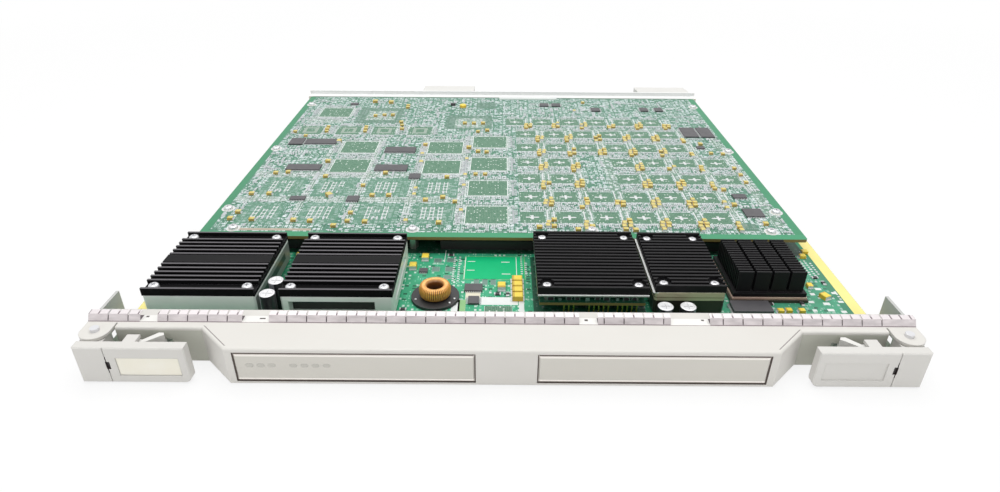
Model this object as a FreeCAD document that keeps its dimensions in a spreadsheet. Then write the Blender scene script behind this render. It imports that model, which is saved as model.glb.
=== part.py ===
import FreeCAD, Part
import math
import os
import Sketcher

# Service card for a network chassis, lying flat with its component side up.
# Millimetres. X runs along the faceplate, Y from the faceplate's gasket line to the rear,
# Z up from the faceplate's underside. The origin is on that underside, in the middle.

SIZES = {
    # faceplate: a folded sheet with a bulged middle
    "plate_width": 397.5,
    "plate_height": 20.5,
    "plate_wall": 1.5,
    "bulge_depth": 22.0,
    "finger_gap": 18.0,
    "recess_front": 6.0,
    "flange_rear": 9.0,
    "bend_radius": 1.2,
    "end_flange_depth": 25.0,
    "end_flange_gap": 0.3,
    "relief_width": 0.8,
    "relief_depth": 3.6,
    # ears that carry the lever pivots
    "ear_radius": 7.0,
    "pivot_setback": 8.6,
    "pivot_radius": 1.6,
    "pivot_head_radius": 2.1,
    "pivot_head_height": 1.6,
    "pivot_foot_gap": 0.1,
    "fit_gap": 0.05,
    "run_gap": 0.3,
    # panel inserts and the status lights
    "insert_margin": 4.0,
    "insert_height": 15.6,
    "insert_thick": 0.9,
    "insert_gap": 0.6,
    "insert_bevel": 0.7,
    "insert_lift": 2.3,
    "status_insert_inner": 12.7,
    "blank_insert_inner": 17.0,
    "light_pitch": 5.1,
    "light_height": 11.3,
    "light_radius": 1.0,
    "light_half": 0.7,
    "first_light_in": 6.8,
    "light_group_step": 20.2,
    "light_window_margin": 2.4,
    "light_bar_depth": 2.5,
    "light_bar_height": 5.0,
    "led_block_front": 3.0,
    "led_block_depth": 5.5,
    "led_block_height": 9.0,
    # gasket of spring fingers on the top flange
    "gasket_front": -1.6,
    "gasket_base": 5.2,
    "gasket_sheet": 0.3,
    "gasket_lean": 2.0,
    "gasket_shoulder": 3.2,
    "gasket_crest": 3.5,
    "gasket_notch": 1.4,
    "gasket_pitch": 9.53,
    "gasket_slot": 0.6,
    # main board and its screws
    "board_margin": 4.25,
    "board_front": 1.5,
    "board_lift": 2.6,
    "board_thick": 2.4,
    "boss_half": 3.4,
    "screw_radius": 1.5,
    "screw_head_radius": 2.8,
    "screw_head_height": 2.0,
    "board_screw_y": 5.2,
    "board_screw_inner_in": 65.0,
    "board_screw_in": 30.75,
    # mezzanine board on hex standoffs
    "mezz_gap": 10.0,
    "mezz_thick": 2.0,
    "mezz_inset": 10.0,
    "mezz_front": 91.0,
    "mezz_depth": 279.0,
    "mezz_corner": 1.5,
    "standoff_flats": 5.5,
    "standoff_inset": 6.5,
    "standoff_front": 9.5,
    "mezz_screw_bite": 6.0,
    "link_length": 76.0,
    "link_width": 7.0,
    "link_split": 6.0,
    "plug_length": 73.0,
    "plug_width": 4.9,
    # rear stiffener and backplane connectors
    "bar_inset": 7.0,
    "bar_gap": 1.5,
    "bar_depth": 9.5,
    "bar_web": 3.0,
    "bar_wall": 1.5,
    "bar_lip": 3.2,
    "bar_screw_x": 120.0,
    "bar_screw_radius": 1.1,
    "bar_screw_bite": 7.0,
    "bar_screw_head": 2.24,
    "connector_gap": 0.3,
    "connector_width": 50.0,
    "connector_depth": 23.5,
    "connector_height": 14.5,
    "connector_overhang": 11.0,
    "connector_step": 1.4,
    "connector_key": 3.0,
    "left_connector_x": -52.8,
    "right_connector_in": 36.7,
    # half-size converter bricks
    "brick_width": 57.9,
    "brick_depth": 61.0,
    "brick_height": 12.7,
    "brick_y": 22.0,
    "brick_one_in": 39.0,
    "brick_step": 70.5,
    "brick_chamfer": 1.0,
    "brick_lift": 1.9,
    "foot_radius": 2.0,
    "foot_inset": 5.0,
    "window_left": 4.0,
    "window_right": 9.5,
    "window_low": 1.0,
    "window_high": 3.0,
    "window_depth": 6.0,
    "side_slot_inset": 9.0,
    "side_slot_low": 4.5,
    "side_slot_height": 4.0,
    "side_slot_depth": 2.5,
    "wide_sink_height": 4.4,
    "sink_base": 2.0,
    "wide_fin": 1.3,
    "wide_fin_pitch": 4.1,
    "wide_fin_margin": 8.0,
    "wide_band": 7.6,
    # open half-size brick
    "open_brick_x": 47.3,
    "open_brick_y": 26.0,
    "open_plate": 1.6,
    "open_board_lift": 7.0,
    "open_board_thick": 1.6,
    "open_board_setback": 1.2,
    "open_post_radius": 1.7,
    "open_post_inset": 5.5,
    "open_pin_width": 0.7,
    "open_pin_pitch": 2.54,
    "fine_sink_height": 4.2,
    "fine_fin": 1.4,
    "screw_well": 3.7,
    "screw_well_inset": 5.0,
    # quarter-size brick
    "quarter_x": 98.1,
    "quarter_y": 28.4,
    "quarter_width": 36.8,
    "quarter_depth": 57.9,
    # processor and its pin-fin heat sink
    "processor_x": 146.0,
    "processor_y": 62.0,
    "processor_width": 42.5,
    "processor_height": 1.8,
    "lid_width": 40.8,
    "lid_height": 1.3,
    "pin_base_width": 40.0,
    "pin_base_height": 2.4,
    "pin_field": 36.5,
    "pin_height": 12.4,
    "pin_thick": 1.1,
    "pin_slot": 1.6,
    # choke and electrolytic capacitors
    "choke_step": 48.4,
    "choke_y": 43.5,
    "choke_base_radius": 13.2,
    "choke_base_height": 1.8,
    "choke_radius": 8.8,
    "choke_hole": 3.9,
    "choke_height": 7.6,
    "choke_bevel": 2.0,
    "can_radius": 4.1,
    "can_bevel": 0.6,
    "tall_can": 16.0,
    "short_can": 12.0,
    # chips
    "chip_height": 1.2,
    "quad_chip_height": 2.4,
    "field_pitch_x": 23.75,
    "field_pitch_y": 30.35,
    "first_field_x": 19.3,
    "first_field_y": 27.0,
    "last_row_shift": 8.5,
    "dsp_width": 15.0,
    "dsp_height": 1.5,
    "controller_width": 27.0,
    "controller_depth": 25.1,
    "controller_height": 2.2,
    # ejector levers
    "lever_end_gap": 2.75,
    "lever_length": 51.0,
    "lever_low": 0.4,
    "lever_high": 20.6,
    "lever_depth": 5.0,
    "lever_wall": 1.6,
    "lever_corner": 3.2,
    "lever_edge": 0.6,
    "lever_seam_in": 14.3,
    "lever_seam": 0.5,
    "lever_slot_in": 15.5,
    "lever_slot_width": 2.0,
    "lever_slot_height": 4.2,
    "hub_radius": 6.0,
    "claw_reach": 10.2,
    "claw_low": 7.0,
    "claw_high": 14.0,
    "label_inset": 3.5,
    "label_length": 29.0,
    "label_low": 4.6,
    "label_high": 14.8,
    "label_recess": 0.6,
    "label_thick": 0.25,
    "label_gap": 0.3,
    # latches behind the levers
    "latch_in": 24.0,
    "latch_back": 2.4,
    "latch_lug": 3.0,
    "latch_pin_radius": 1.0,
    "latch_barrel": 2.2,
    "latch_low": 4.5,
    "latch_high": 18.4,
    "latch_press": 9.4,
    "latch_nose": 9.2,
    "latch_nose_width": 2.2,
    "latch_nose_low": 8.4,
    "latch_nose_high": 13.0,
    "latch_reach": 1.1,
    "latch_window_gap": 0.9,
}


class Size:
    """A number kept together with the sheet expression that gives it."""

    def __init__(self, value, text):
        self.value = float(value)
        self.text = text

    def __add__(self, other):
        return Size(self.value + number(other), "(%s + %s)" % (self.text, text(other)))

    def __radd__(self, other):
        return Size(number(other) + self.value, "(%s + %s)" % (text(other), self.text))

    def __sub__(self, other):
        return Size(self.value - number(other), "(%s - %s)" % (self.text, text(other)))

    def __rsub__(self, other):
        return Size(number(other) - self.value, "(%s - %s)" % (text(other), self.text))

    def __mul__(self, other):
        return Size(self.value * number(other), "(%s * %s)" % (self.text, text(other)))

    def __rmul__(self, other):
        return Size(number(other) * self.value, "(%s * %s)" % (text(other), self.text))

    def __truediv__(self, other):
        return Size(self.value / number(other), "(%s / %s)" % (self.text, text(other)))

    def __neg__(self):
        return Size(-self.value, "(0 - %s)" % self.text)


def number(quantity):
    return quantity.value if isinstance(quantity, Size) else float(quantity)


def text(quantity):
    return quantity.text if isinstance(quantity, Size) else "(%.6f)" % quantity


class Names:
    """Holds the sizes under their names."""


doc = FreeCAD.newDocument("service_card")
sheet = doc.addObject("Spreadsheet::Sheet", "sizes")
s = Names()
for row, (alias, value) in enumerate(SIZES.items(), start=1):
    sheet.set("A%d" % row, alias)
    sheet.set("B%d" % row, str(value))
    sheet.setAlias("B%d" % row, alias)
    setattr(s, alias, Size(value, "sizes." + alias))
doc.recompute()

# Places worked out from the driving sizes
plate_half = s.plate_width / 2
pivot_x = plate_half - s.ear_radius
pivot_y = -s.pivot_setback
wall_end = plate_half - 2 * s.ear_radius
wall_stop = wall_end - s.relief_width
front = -s.bulge_depth
lever_outer = plate_half - s.lever_end_gap
lever_inner = lever_outer - s.lever_length
lever_seam_x = lever_outer - s.lever_seam_in
label_inner = lever_inner + s.label_inset
label_outer = label_inner + s.label_length
bulge_half = lever_inner - s.finger_gap
bulge_root = bulge_half + s.bulge_depth - s.recess_front
status_insert_left = s.insert_margin - bulge_half
first_light_x = status_insert_left + s.first_light_in
recess_inside = s.plate_wall - s.recess_front
flange_low = s.plate_wall
flange_high = s.plate_height - s.plate_wall
board_half = plate_half - s.board_margin
board_top = s.board_lift + s.board_thick
mezz_half = board_half - s.mezz_inset
mezz_low = board_top + s.mezz_gap
mezz_top = mezz_low + s.mezz_thick
mezz_rear = s.mezz_front + s.mezz_depth
bar_front = mezz_rear + s.bar_gap
bar_rear = bar_front + s.bar_depth
connector_front = bar_rear + s.connector_gap
connector_rear = connector_front + s.connector_depth
board_rear = connector_rear - s.connector_overhang
lever_back = front + s.lever_depth
latch_y = lever_back + s.latch_back
latch_x = lever_outer - s.latch_in
latch_nose_x = latch_x - s.latch_nose
brick_low = board_top + s.brick_lift
brick_top = brick_low + s.brick_height
brick_one_x = s.brick_one_in - board_half
brick_two_x = brick_one_x + s.brick_step
choke_x = brick_two_x + s.choke_step
shank_radius = s.screw_radius - s.fit_gap
MITRE = math.tan(math.radians(22.5))  # inner corner of a 45 degree fold, per wall thickness
CLEAR = 1.0  # how far a cutting outline runs past the solid
BITE = 0.5  # how far two fused forms run into each other
HEAD_SIDES = 14  # sides of a screw head
LIGHT_CORNER = 0.6  # corner cut of a light's oval, as a share of its half height

nodes = []


def bind(item, path, quantity):
    item.setExpression(path, text(quantity))


def node(item, label):
    item.Label = label
    nodes.append(item)
    return item


def box(low, high):
    item = doc.addObject("Part::Box", "block")
    for size, axis, a, b in zip(("Length", "Width", "Height"), "xyz", low, high):
        bind(item, size, b - a)
        bind(item, "Placement.Base." + axis, a)
    return item


def block_on(x, y, z, width, depth, height):
    return box((x - width / 2, y - depth / 2, z), (x + width / 2, y + depth / 2, z + height))


def cylinder(x, y, radius, low, high):
    item = doc.addObject("Part::Cylinder", "round")
    bind(item, "Radius", radius)
    bind(item, "Height", high - low)
    for axis, place in zip("xyz", (x, y, low)):
        bind(item, "Placement.Base." + axis, place)
    return item


def rod(x, y, radius, low, high, sides=8):
    """A small repeated round with few sides, whose corners lie on the given radius."""
    item = doc.addObject("Part::Prism", "rod")
    item.Polygon = sides
    bind(item, "Circumradius", radius)
    bind(item, "Height", high - low)
    for axis, place in zip("xyz", (x, y, low)):
        bind(item, "Placement.Base." + axis, place)
    return item


def fuse(items):
    item = doc.addObject("Part::MultiFuse", "joined")
    item.Shapes = items
    item.Refine = True
    return item


def cut(base, tool):
    item = doc.addObject("Part::Cut", "cut")
    item.Base = base
    item.Tool = tool
    item.Refine = True
    return item


def group(label, items):
    item = doc.addObject("Part::Compound", label)
    item.Links = items
    return node(item, label)


def new_body(label):
    return node(doc.addObject("PartDesign::Body", label), label)


def origin_part(body, role):
    return [feature for feature in body.Origin.OriginFeatures if feature.Role == role][0]


def pin_point(sketch, geometry, point, x, y):
    for kind, place in (("DistanceX", x), ("DistanceY", y)):
        rule = Sketcher.Constraint(kind, -1, 1, geometry, point, number(place))
        index = sketch.addConstraint(rule)
        sketch.setExpression("Constraints[%d]" % index, text(place))


def draw_polygon(sketch, points):
    first = sketch.GeometryCount
    count = len(points)
    corners = [FreeCAD.Vector(number(x), number(y), 0) for x, y in points]
    for i in range(count):
        sketch.addGeometry(Part.LineSegment(corners[i], corners[(i + 1) % count]), False)
    for i in range(count):
        sketch.addConstraint(Sketcher.Constraint("Coincident", first + i, 2, first + (i + 1) % count, 1))
    for i, (x, y) in enumerate(points):
        pin_point(sketch, first + i, 1, x, y)


def draw_circle(sketch, x, y, radius):
    centre = FreeCAD.Vector(number(x), number(y), 0)
    round_line = Part.Circle(centre, FreeCAD.Vector(0, 0, 1), number(radius))
    geometry = sketch.addGeometry(round_line, False)
    pin_point(sketch, geometry, 3, x, y)
    index = sketch.addConstraint(Sketcher.Constraint("Radius", geometry, number(radius)))
    sketch.setExpression("Constraints[%d]" % index, text(radius))


def draw(body, role, outlines, offset):
    """A sketch on one of the body's planes. A list is a polygon, a tuple (x, y, radius) a circle."""
    sketch = body.newObject("Sketcher::SketchObject", body.Name + "_outline")
    sketch.AttachmentSupport = (origin_part(body, role), [""])
    sketch.MapMode = "FlatFace"
    bind(sketch, "AttachmentOffset.Base.z", offset)
    for outline in outlines:
        if isinstance(outline, tuple):
            draw_circle(sketch, *outline)
        else:
            draw_polygon(sketch, outline)
    return sketch


def pad(body, role, outlines, low, high):
    """Adds material from low to high along the plane's axis. The XZ plane's normal is -Y."""
    offset = -high if role == "XZ_Plane" else low
    sketch = draw(body, role, outlines, offset)
    feature = body.newObject("PartDesign::Pad", body.Name + "_pad")
    feature.Profile = sketch
    bind(feature, "Length", high - low)
    doc.recompute()
    return feature


def pocket(body, role, outlines, low, high):
    """Takes material away from low to high along the plane's axis."""
    before = body.Shape.Volume
    offset = -low if role == "XZ_Plane" else high
    sketch = draw(body, role, outlines, offset)
    feature = body.newObject("PartDesign::Pocket", body.Name + "_pocket")
    feature.Profile = sketch
    bind(feature, "Length", high - low)
    doc.recompute()
    if body.Shape.Volume >= before:
        raise RuntimeError("a pocket of %s cuts nothing" % body.Label)
    return feature


def pattern(body, feature, role, pitch, count):
    item = body.newObject("PartDesign::LinearPattern", body.Name + "_row")
    item.Originals = [feature]
    item.Direction = (origin_part(body, role), [""])
    item.Mode = "Spacing"
    bind(item, "Offset", pitch)
    item.Occurrences = count
    body.Tip = item
    doc.recompute()
    return item


def edges_where(shape, chosen):
    """Names of the edges whose middle point and direction satisfy the test."""
    names = []
    for index, edge in enumerate(shape.Edges, start=1):
        ends = [vertex.Point for vertex in edge.Vertexes]
        if len(ends) == 2 and chosen((ends[0] + ends[1]) * 0.5, ends[1] - ends[0]):
            names.append("Edge%d" % index)
    return names


def soften(body, kind, size, radius, chosen):
    """A fillet or chamfer on the chosen edges of the body's last feature."""
    base = body.Tip
    feature = body.newObject("PartDesign::" + kind, body.Name + "_" + kind.lower())
    feature.Base = (base, edges_where(base.Shape, chosen))
    bind(feature, size, radius)
    doc.recompute()
    return feature


def rectangle(left, right, low, high):
    return [(left, low), (right, low), (right, high), (left, high)]


def facets(x, y, radius, sides=8):
    """A round outline as a polygon with a flat on each axis, for what is small and repeated."""
    reach = radius / math.cos(math.pi / sides)
    turns = [2 * math.pi * (i + 0.5) / sides for i in range(sides)]
    return [(x + reach * math.cos(turn), y + reach * math.sin(turn)) for turn in turns]


def near(a, b):
    return abs(a - number(b)) < 0.01


def upright(middle, along):
    return abs(along.z) > abs(along.x) + abs(along.y)


# Faceplate


def insert_spans():
    """Left and right ends of the status insert and of the blank insert."""
    return ((status_insert_left, -s.status_insert_inner),
            (s.blank_insert_inner, bulge_half - s.insert_margin))


def insert_outline(span, grow):
    low = s.insert_lift - grow
    return rectangle(span[0] - grow, span[1] + grow, low, low + s.insert_height + 2 * grow)


def light_places():
    first = [first_light_x + i * s.light_pitch for i in range(3)]
    second = [first_light_x + s.light_group_step + i * s.light_pitch for i in range(4)]
    return first, second


def light_outline(x, grow):
    """A small oval lying along X."""
    tall = s.light_radius + grow
    wide = tall + s.light_half
    corner = tall * LIGHT_CORNER
    quarter = [(wide, tall - corner), (wide - corner, tall)]
    right = quarter + [(-px, py) for px, py in reversed(quarter)]
    points = right + [(-px, -py) for px, py in right]
    return [(x + px, s.light_height + py) for px, py in points]


def light_window(places):
    low = s.light_height - s.light_bar_height / 2 + s.plate_wall / 2
    high = s.light_height + s.light_bar_height / 2 - s.plate_wall / 2
    return rectangle(places[0] - s.light_window_margin, places[-1] + s.light_window_margin, low, high)


def board_screw_places():
    outer = plate_half - s.board_screw_in
    inner = bulge_half - s.board_screw_inner_in
    return [(x, s.board_screw_y) for x in (-outer, -inner, inner, outer)]


def latch_window(side):
    a = side * (latch_nose_x - s.latch_nose_width - 3 * s.latch_window_gap)
    b = side * (latch_nose_x + s.latch_window_gap)
    return rectangle(a, b, s.latch_nose_low - s.latch_window_gap, s.latch_nose_high + s.latch_window_gap)


def make_faceplate():
    body = new_body("faceplate")
    outline = [
        (-bulge_half, front), (bulge_half, front), (bulge_root, -s.recess_front),
        (wall_end, -s.recess_front), (wall_end, pivot_y), (plate_half, pivot_y),
        (plate_half, s.flange_rear), (-plate_half, s.flange_rear), (-plate_half, pivot_y),
        (-wall_end, pivot_y), (-wall_end, -s.recess_front), (-bulge_root, -s.recess_front),
    ]
    pad(body, "XY_Plane", [outline], 0 * s.plate_height, s.plate_height)

    def folds(middle, along):
        ahead = middle.y < number(-s.recess_front) + 0.01 and abs(middle.x) < number(wall_end) - 0.01
        return ahead and not upright(middle, along)

    soften(body, "Fillet", "Radius", s.bend_radius, folds)
    pad(body, "XY_Plane", [(side * pivot_x, pivot_y, s.ear_radius) for side in (-1, 1)],
        0 * s.plate_height, s.plate_height)
    inner_front = front + s.plate_wall
    inner_half = bulge_half - MITRE * s.plate_wall
    inner_root = bulge_root - MITRE * s.plate_wall
    ahead = front - CLEAR
    beside = plate_half + CLEAR
    behind = s.flange_rear + CLEAR
    hollow = [
        (-inner_half, inner_front), (inner_half, inner_front), (inner_root, recess_inside),
        (wall_stop, recess_inside), (wall_stop, ahead), (beside, ahead),
        (beside, behind), (-beside, behind), (-beside, ahead),
        (-wall_stop, ahead), (-wall_stop, recess_inside), (-inner_root, recess_inside),
    ]
    pocket(body, "XY_Plane", [hollow], flange_low, flange_high)
    flange_foot = board_top + s.end_flange_gap
    end_plate = rectangle(0 * s.end_flange_depth, s.end_flange_depth, flange_foot, s.plate_height)
    pad(body, "YZ_Plane", [end_plate], plate_half - s.plate_wall, plate_half)
    pad(body, "YZ_Plane", [end_plate], -plate_half, s.plate_wall - plate_half)
    bosses = [rectangle(x - s.boss_half, x + s.boss_half, y - s.boss_half, y + s.boss_half)
              for x, y in board_screw_places()]
    pad(body, "XY_Plane", bosses, flange_low - BITE, s.board_lift)
    holes = [facets(x, y, s.screw_radius) for x, y in board_screw_places()]
    pocket(body, "XY_Plane", holes, -CLEAR * s.plate_wall, s.board_lift)
    pivots = [(side * pivot_x, pivot_y, s.pivot_radius + s.fit_gap) for side in (-1, 1)]
    pocket(body, "XY_Plane", pivots, -CLEAR * s.plate_wall, s.plate_height)
    reliefs = []
    for side in (-1, 1):
        reliefs.append(rectangle(side * wall_end, side * wall_stop, -s.recess_front - CLEAR,
                                 s.relief_depth - s.recess_front))
    pocket(body, "XY_Plane", reliefs, flange_high, s.plate_height)
    inserts = [insert_outline(span, s.insert_gap) for span in insert_spans()]
    pocket(body, "XZ_Plane", inserts, front, front + s.insert_thick)
    pocket(body, "XZ_Plane", [light_window(places) for places in light_places()], front, inner_front)
    pocket(body, "XZ_Plane", [latch_window(side) for side in (-1, 1)], -s.recess_front, recess_inside)


# Stretches of the top edge where the gasket has no fingers, as start and width along X
BARE_STRETCHES = ((-174.0, 8.5), (-125.0, 13.0), (37.0, 9.0), (81.0, 19.0))


def make_gasket():
    body = new_body("emi_gasket")
    base = s.plate_height
    rear = s.gasket_front + s.gasket_base
    shoulder_y = s.gasket_front + s.gasket_lean
    lift = s.gasket_sheet * 1.2
    section = [
        (s.gasket_front, base), (rear, base), (rear, base + s.gasket_sheet),
        (s.gasket_front + 3 * s.gasket_sheet, base + s.gasket_sheet),
        (shoulder_y + s.gasket_sheet / 2, base + s.gasket_shoulder - lift),
        (rear, base + s.gasket_crest - lift),
        (rear, base + s.gasket_crest),
        (shoulder_y, base + s.gasket_shoulder),
    ]
    pad(body, "YZ_Plane", [section], -plate_half, plate_half)
    top = base + s.gasket_crest + CLEAR
    behind = rear + CLEAR
    bare = [rectangle(start, start + width, s.gasket_front - CLEAR, behind)
            for start, width in BARE_STRETCHES]
    pocket(body, "XY_Plane", bare, base + s.gasket_sheet, top)
    slot_x = s.gasket_pitch - plate_half
    slot = rectangle(slot_x - s.gasket_slot / 2, slot_x + s.gasket_slot / 2,
                     s.gasket_front + s.gasket_sheet, behind)
    first = pocket(body, "XY_Plane", [slot], base + s.gasket_sheet, top)
    count = int(number(s.plate_width) / number(s.gasket_pitch)) - 1
    pattern(body, first, "X_Axis", s.gasket_pitch, count)
    notch_x = slot_x - s.gasket_pitch / 2
    notch = rectangle(notch_x - s.gasket_slot / 2, notch_x + s.gasket_slot / 2, rear - s.gasket_notch, behind)
    second = pocket(body, "XY_Plane", [notch], base + s.gasket_shoulder - s.gasket_lean, top)
    pattern(body, second, "X_Axis", s.gasket_pitch, count)


# Panel inserts, light pipes and status lights


def make_inserts():
    for label, span in zip(("status_panel_insert", "blank_panel_insert"), insert_spans()):
        body = new_body(label)
        pad(body, "XZ_Plane", [insert_outline(span, 0 * s.insert_gap)], front, front + s.insert_thick)
        soften(body, "Chamfer", "Size", s.insert_bevel, lambda middle, along: near(middle.y, front))
        if label == "status_panel_insert":
            first, second = light_places()
            windows = [light_outline(x, s.fit_gap) for x in first + second]
            pocket(body, "XZ_Plane", windows, front, front + s.insert_thick)


def make_lights():
    first, second = light_places()
    bar_ahead = front + s.plate_wall
    bar_behind = bar_ahead + s.light_bar_depth
    low = s.light_height - s.light_bar_height / 2
    high = s.light_height + s.light_bar_height / 2
    body = new_body("light_pipe_array")
    bar = rectangle(first[0] - s.light_pitch / 2, second[-1] + s.light_pitch / 2, low, high)
    pad(body, "XZ_Plane", [bar], bar_ahead, bar_behind)
    pad(body, "XZ_Plane", [light_outline(x, 0 * s.fit_gap) for x in first + second], front, bar_ahead + BITE)
    legs = [rectangle(x - s.light_radius, x + s.light_radius, s.light_height - s.light_radius,
                      s.light_height + s.light_radius) for x in first + second]
    pad(body, "XZ_Plane", legs, bar_behind - BITE, s.led_block_front - s.run_gap)
    blocks = []
    for places in (first, second):
        blocks.append(box((places[0] - s.light_pitch / 2, s.led_block_front, board_top),
                          (places[-1] + s.light_pitch / 2, s.led_block_front + s.led_block_depth,
                           board_top + s.led_block_height)))
    group("status_led_blocks", blocks)


# Boards, standoffs, screws and the links between the boards


# Standoffs along the mezzanine's front as shares of its half width, down its sides as shares of its depth
FRONT_STANDOFFS = (0.31, 0.93)
SIDE_STANDOFFS = (0.13, 0.51, 0.91)


def standoff_places():
    front_y = s.mezz_front + s.standoff_front
    side_x = mezz_half - s.standoff_inset
    row = [(side * share * side_x, front_y) for side in (-1, 1) for share in FRONT_STANDOFFS]
    for share in SIDE_STANDOFFS:
        row += [(side * side_x, s.mezz_front + share * s.mezz_depth) for side in (-1, 1)]
    return row


def bar_screw_places():
    return [(side * s.bar_screw_x, bar_front + s.bar_web / 2) for side in (-1, 1)]


def make_boards():
    body = new_body("main_board")
    outline = rectangle(-board_half, board_half, s.board_front, board_rear)
    pad(body, "XY_Plane", [outline], s.board_lift, board_top)
    holes = [facets(x, y, s.screw_radius) for x, y in board_screw_places()]
    holes += [facets(x, y, s.bar_screw_radius + s.fit_gap) for x, y in bar_screw_places()]
    pocket(body, "XY_Plane", holes, s.board_lift, board_top)

    body = new_body("mezzanine_board")
    pad(body, "XY_Plane", [rectangle(-mezz_half, mezz_half, s.mezz_front, mezz_rear)], mezz_low, mezz_top)
    soften(body, "Fillet", "Radius", s.mezz_corner, upright)
    holes = [facets(x, y, s.screw_radius) for x, y in standoff_places()]
    pocket(body, "XY_Plane", holes, mezz_low, mezz_top)


def screw(x, y, seat, tip, head_radius, radius, head_height):
    """A screw whose head sits on its seat, above or below it, and whose shank runs to the tip."""
    up = number(seat) > number(tip)
    head = (seat, seat + head_height) if up else (seat - head_height, seat)
    shank = (tip, seat + BITE) if up else (seat - BITE, tip)
    return fuse([rod(x, y, head_radius, *head, sides=HEAD_SIDES), rod(x, y, radius, *shank)])


def make_fasteners():
    posts = []
    screws = []
    for x, y in standoff_places():
        post = rod(x, y, s.standoff_flats / math.sqrt(3), board_top, mezz_low, sides=6)
        bore_low = mezz_low - s.mezz_screw_bite - s.run_gap
        posts.append(cut(post, rod(x, y, s.screw_radius + s.fit_gap, bore_low, mezz_low + CLEAR)))
        screws.append(screw(x, y, mezz_top, mezz_low - s.mezz_screw_bite, s.screw_head_radius,
                            shank_radius, s.screw_head_height))
    group("mezzanine_standoffs", posts)
    group("mezzanine_screws", screws)
    front_screws = []
    for x, y in board_screw_places():
        front_screws.append(screw(x, y, board_top, s.run_gap, s.screw_head_radius, shank_radius,
                                  s.screw_head_height))
    group("board_screws", front_screws)
    rear_screws = []
    for x, y in bar_screw_places():
        rear_screws.append(screw(x, y, s.board_lift, board_top + s.bar_screw_bite, s.bar_screw_head,
                                 s.bar_screw_radius, s.screw_head_height))
    group("stiffener_screws", rear_screws)


# Centres of the links between the boards, as shares of the mezzanine's half width and depth
LINK_PLACES = ((-0.6, 0.034), (0.0, 0.034), (0.6, 0.034), (-0.5, 0.93), (0.45, 0.93))


def make_links():
    split = board_top + s.link_split
    lower = []
    upper = []
    for across, along in LINK_PLACES:
        x = mezz_half * across
        y = s.mezz_front + s.mezz_depth * along
        lower.append(block_on(x, y, board_top, s.link_length, s.link_width, s.link_split))
        upper.append(block_on(x, y, split, s.plug_length, s.plug_width, mezz_low - split))
    group("mezzanine_receptacles", lower)
    group("mezzanine_plugs", upper)


# Rear stiffener and backplane connectors


def make_rear():
    body = new_body("rear_stiffener")
    flange_under = mezz_top - s.bar_wall
    inner_rear = bar_rear - s.bar_wall
    section = [
        (bar_front, board_top), (bar_front + s.bar_web, board_top), (bar_front + s.bar_web, flange_under),
        (inner_rear, flange_under), (inner_rear, board_top), (bar_rear, board_top),
        (bar_rear, mezz_top + s.bar_lip), (inner_rear, mezz_top + s.bar_lip), (inner_rear, mezz_top),
        (bar_front, mezz_top),
    ]
    bar_half = board_half - s.bar_inset
    pad(body, "YZ_Plane", [section], -bar_half, bar_half)
    holes = [facets(x, y, s.bar_screw_radius + s.fit_gap) for x, y in bar_screw_places()]
    pocket(body, "XY_Plane", holes, board_top, board_top + s.bar_screw_bite + s.run_gap)
    top = board_top + s.connector_height
    mouth = board_rear + s.run_gap
    for label, x in (("backplane_connector_left", s.left_connector_x),
                     ("backplane_connector_right", board_half - s.right_connector_in)):
        body = new_body(label)
        section = [
            (connector_front, board_top), (mouth, board_top), (mouth, board_top - s.connector_step),
            (connector_rear, board_top - s.connector_step), (connector_rear, top - s.connector_step),
            (mouth, top - s.connector_step), (mouth, top), (connector_front, top),
        ]
        pad(body, "YZ_Plane", [section], x - s.connector_width / 2, x + s.connector_width / 2)
        middle = board_top + s.connector_height / 2
        keys = []
        for side in (-1, 1):
            edge = x + side * s.connector_width / 2
            keys.append(rectangle(edge - side * s.connector_key, edge + side * CLEAR,
                                  middle - s.connector_key / 2, middle + s.connector_key / 2))
        pocket(body, "XZ_Plane", keys, mouth, connector_rear)


# Converter bricks and their heat sinks


def make_case(label, x, y, width, depth):
    """A closed brick that stands on four round feet."""
    body = new_body(label)
    pad(body, "XY_Plane", [rectangle(x - width / 2, x + width / 2, y, y + depth)], brick_low, brick_top)
    soften(body, "Chamfer", "Size", s.brick_chamfer, upright)
    feet = []
    for side in (-1, 1):
        for place in (y + s.foot_inset, y + depth - s.foot_inset):
            feet.append(facets(x + side * (width / 2 - s.foot_inset), place, s.foot_radius))
    pad(body, "XY_Plane", feet, board_top, brick_low + BITE)
    return body


def open_case(body, x, y, width, depth):
    """Cuts the terminal window in a case's front and the slot along its right side."""
    window = rectangle(x - width / 2 + s.window_left, x + width / 2 - s.window_right,
                       brick_low + s.window_low, brick_top - s.window_high)
    pocket(body, "XZ_Plane", [window], y, y + s.window_depth)
    slot_low = brick_low + s.side_slot_low
    slot = rectangle(y + s.side_slot_inset, y + depth - s.side_slot_inset,
                     slot_low, slot_low + s.side_slot_height)
    pocket(body, "YZ_Plane", [slot], x + width / 2 - s.side_slot_depth, x + width / 2)


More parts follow.
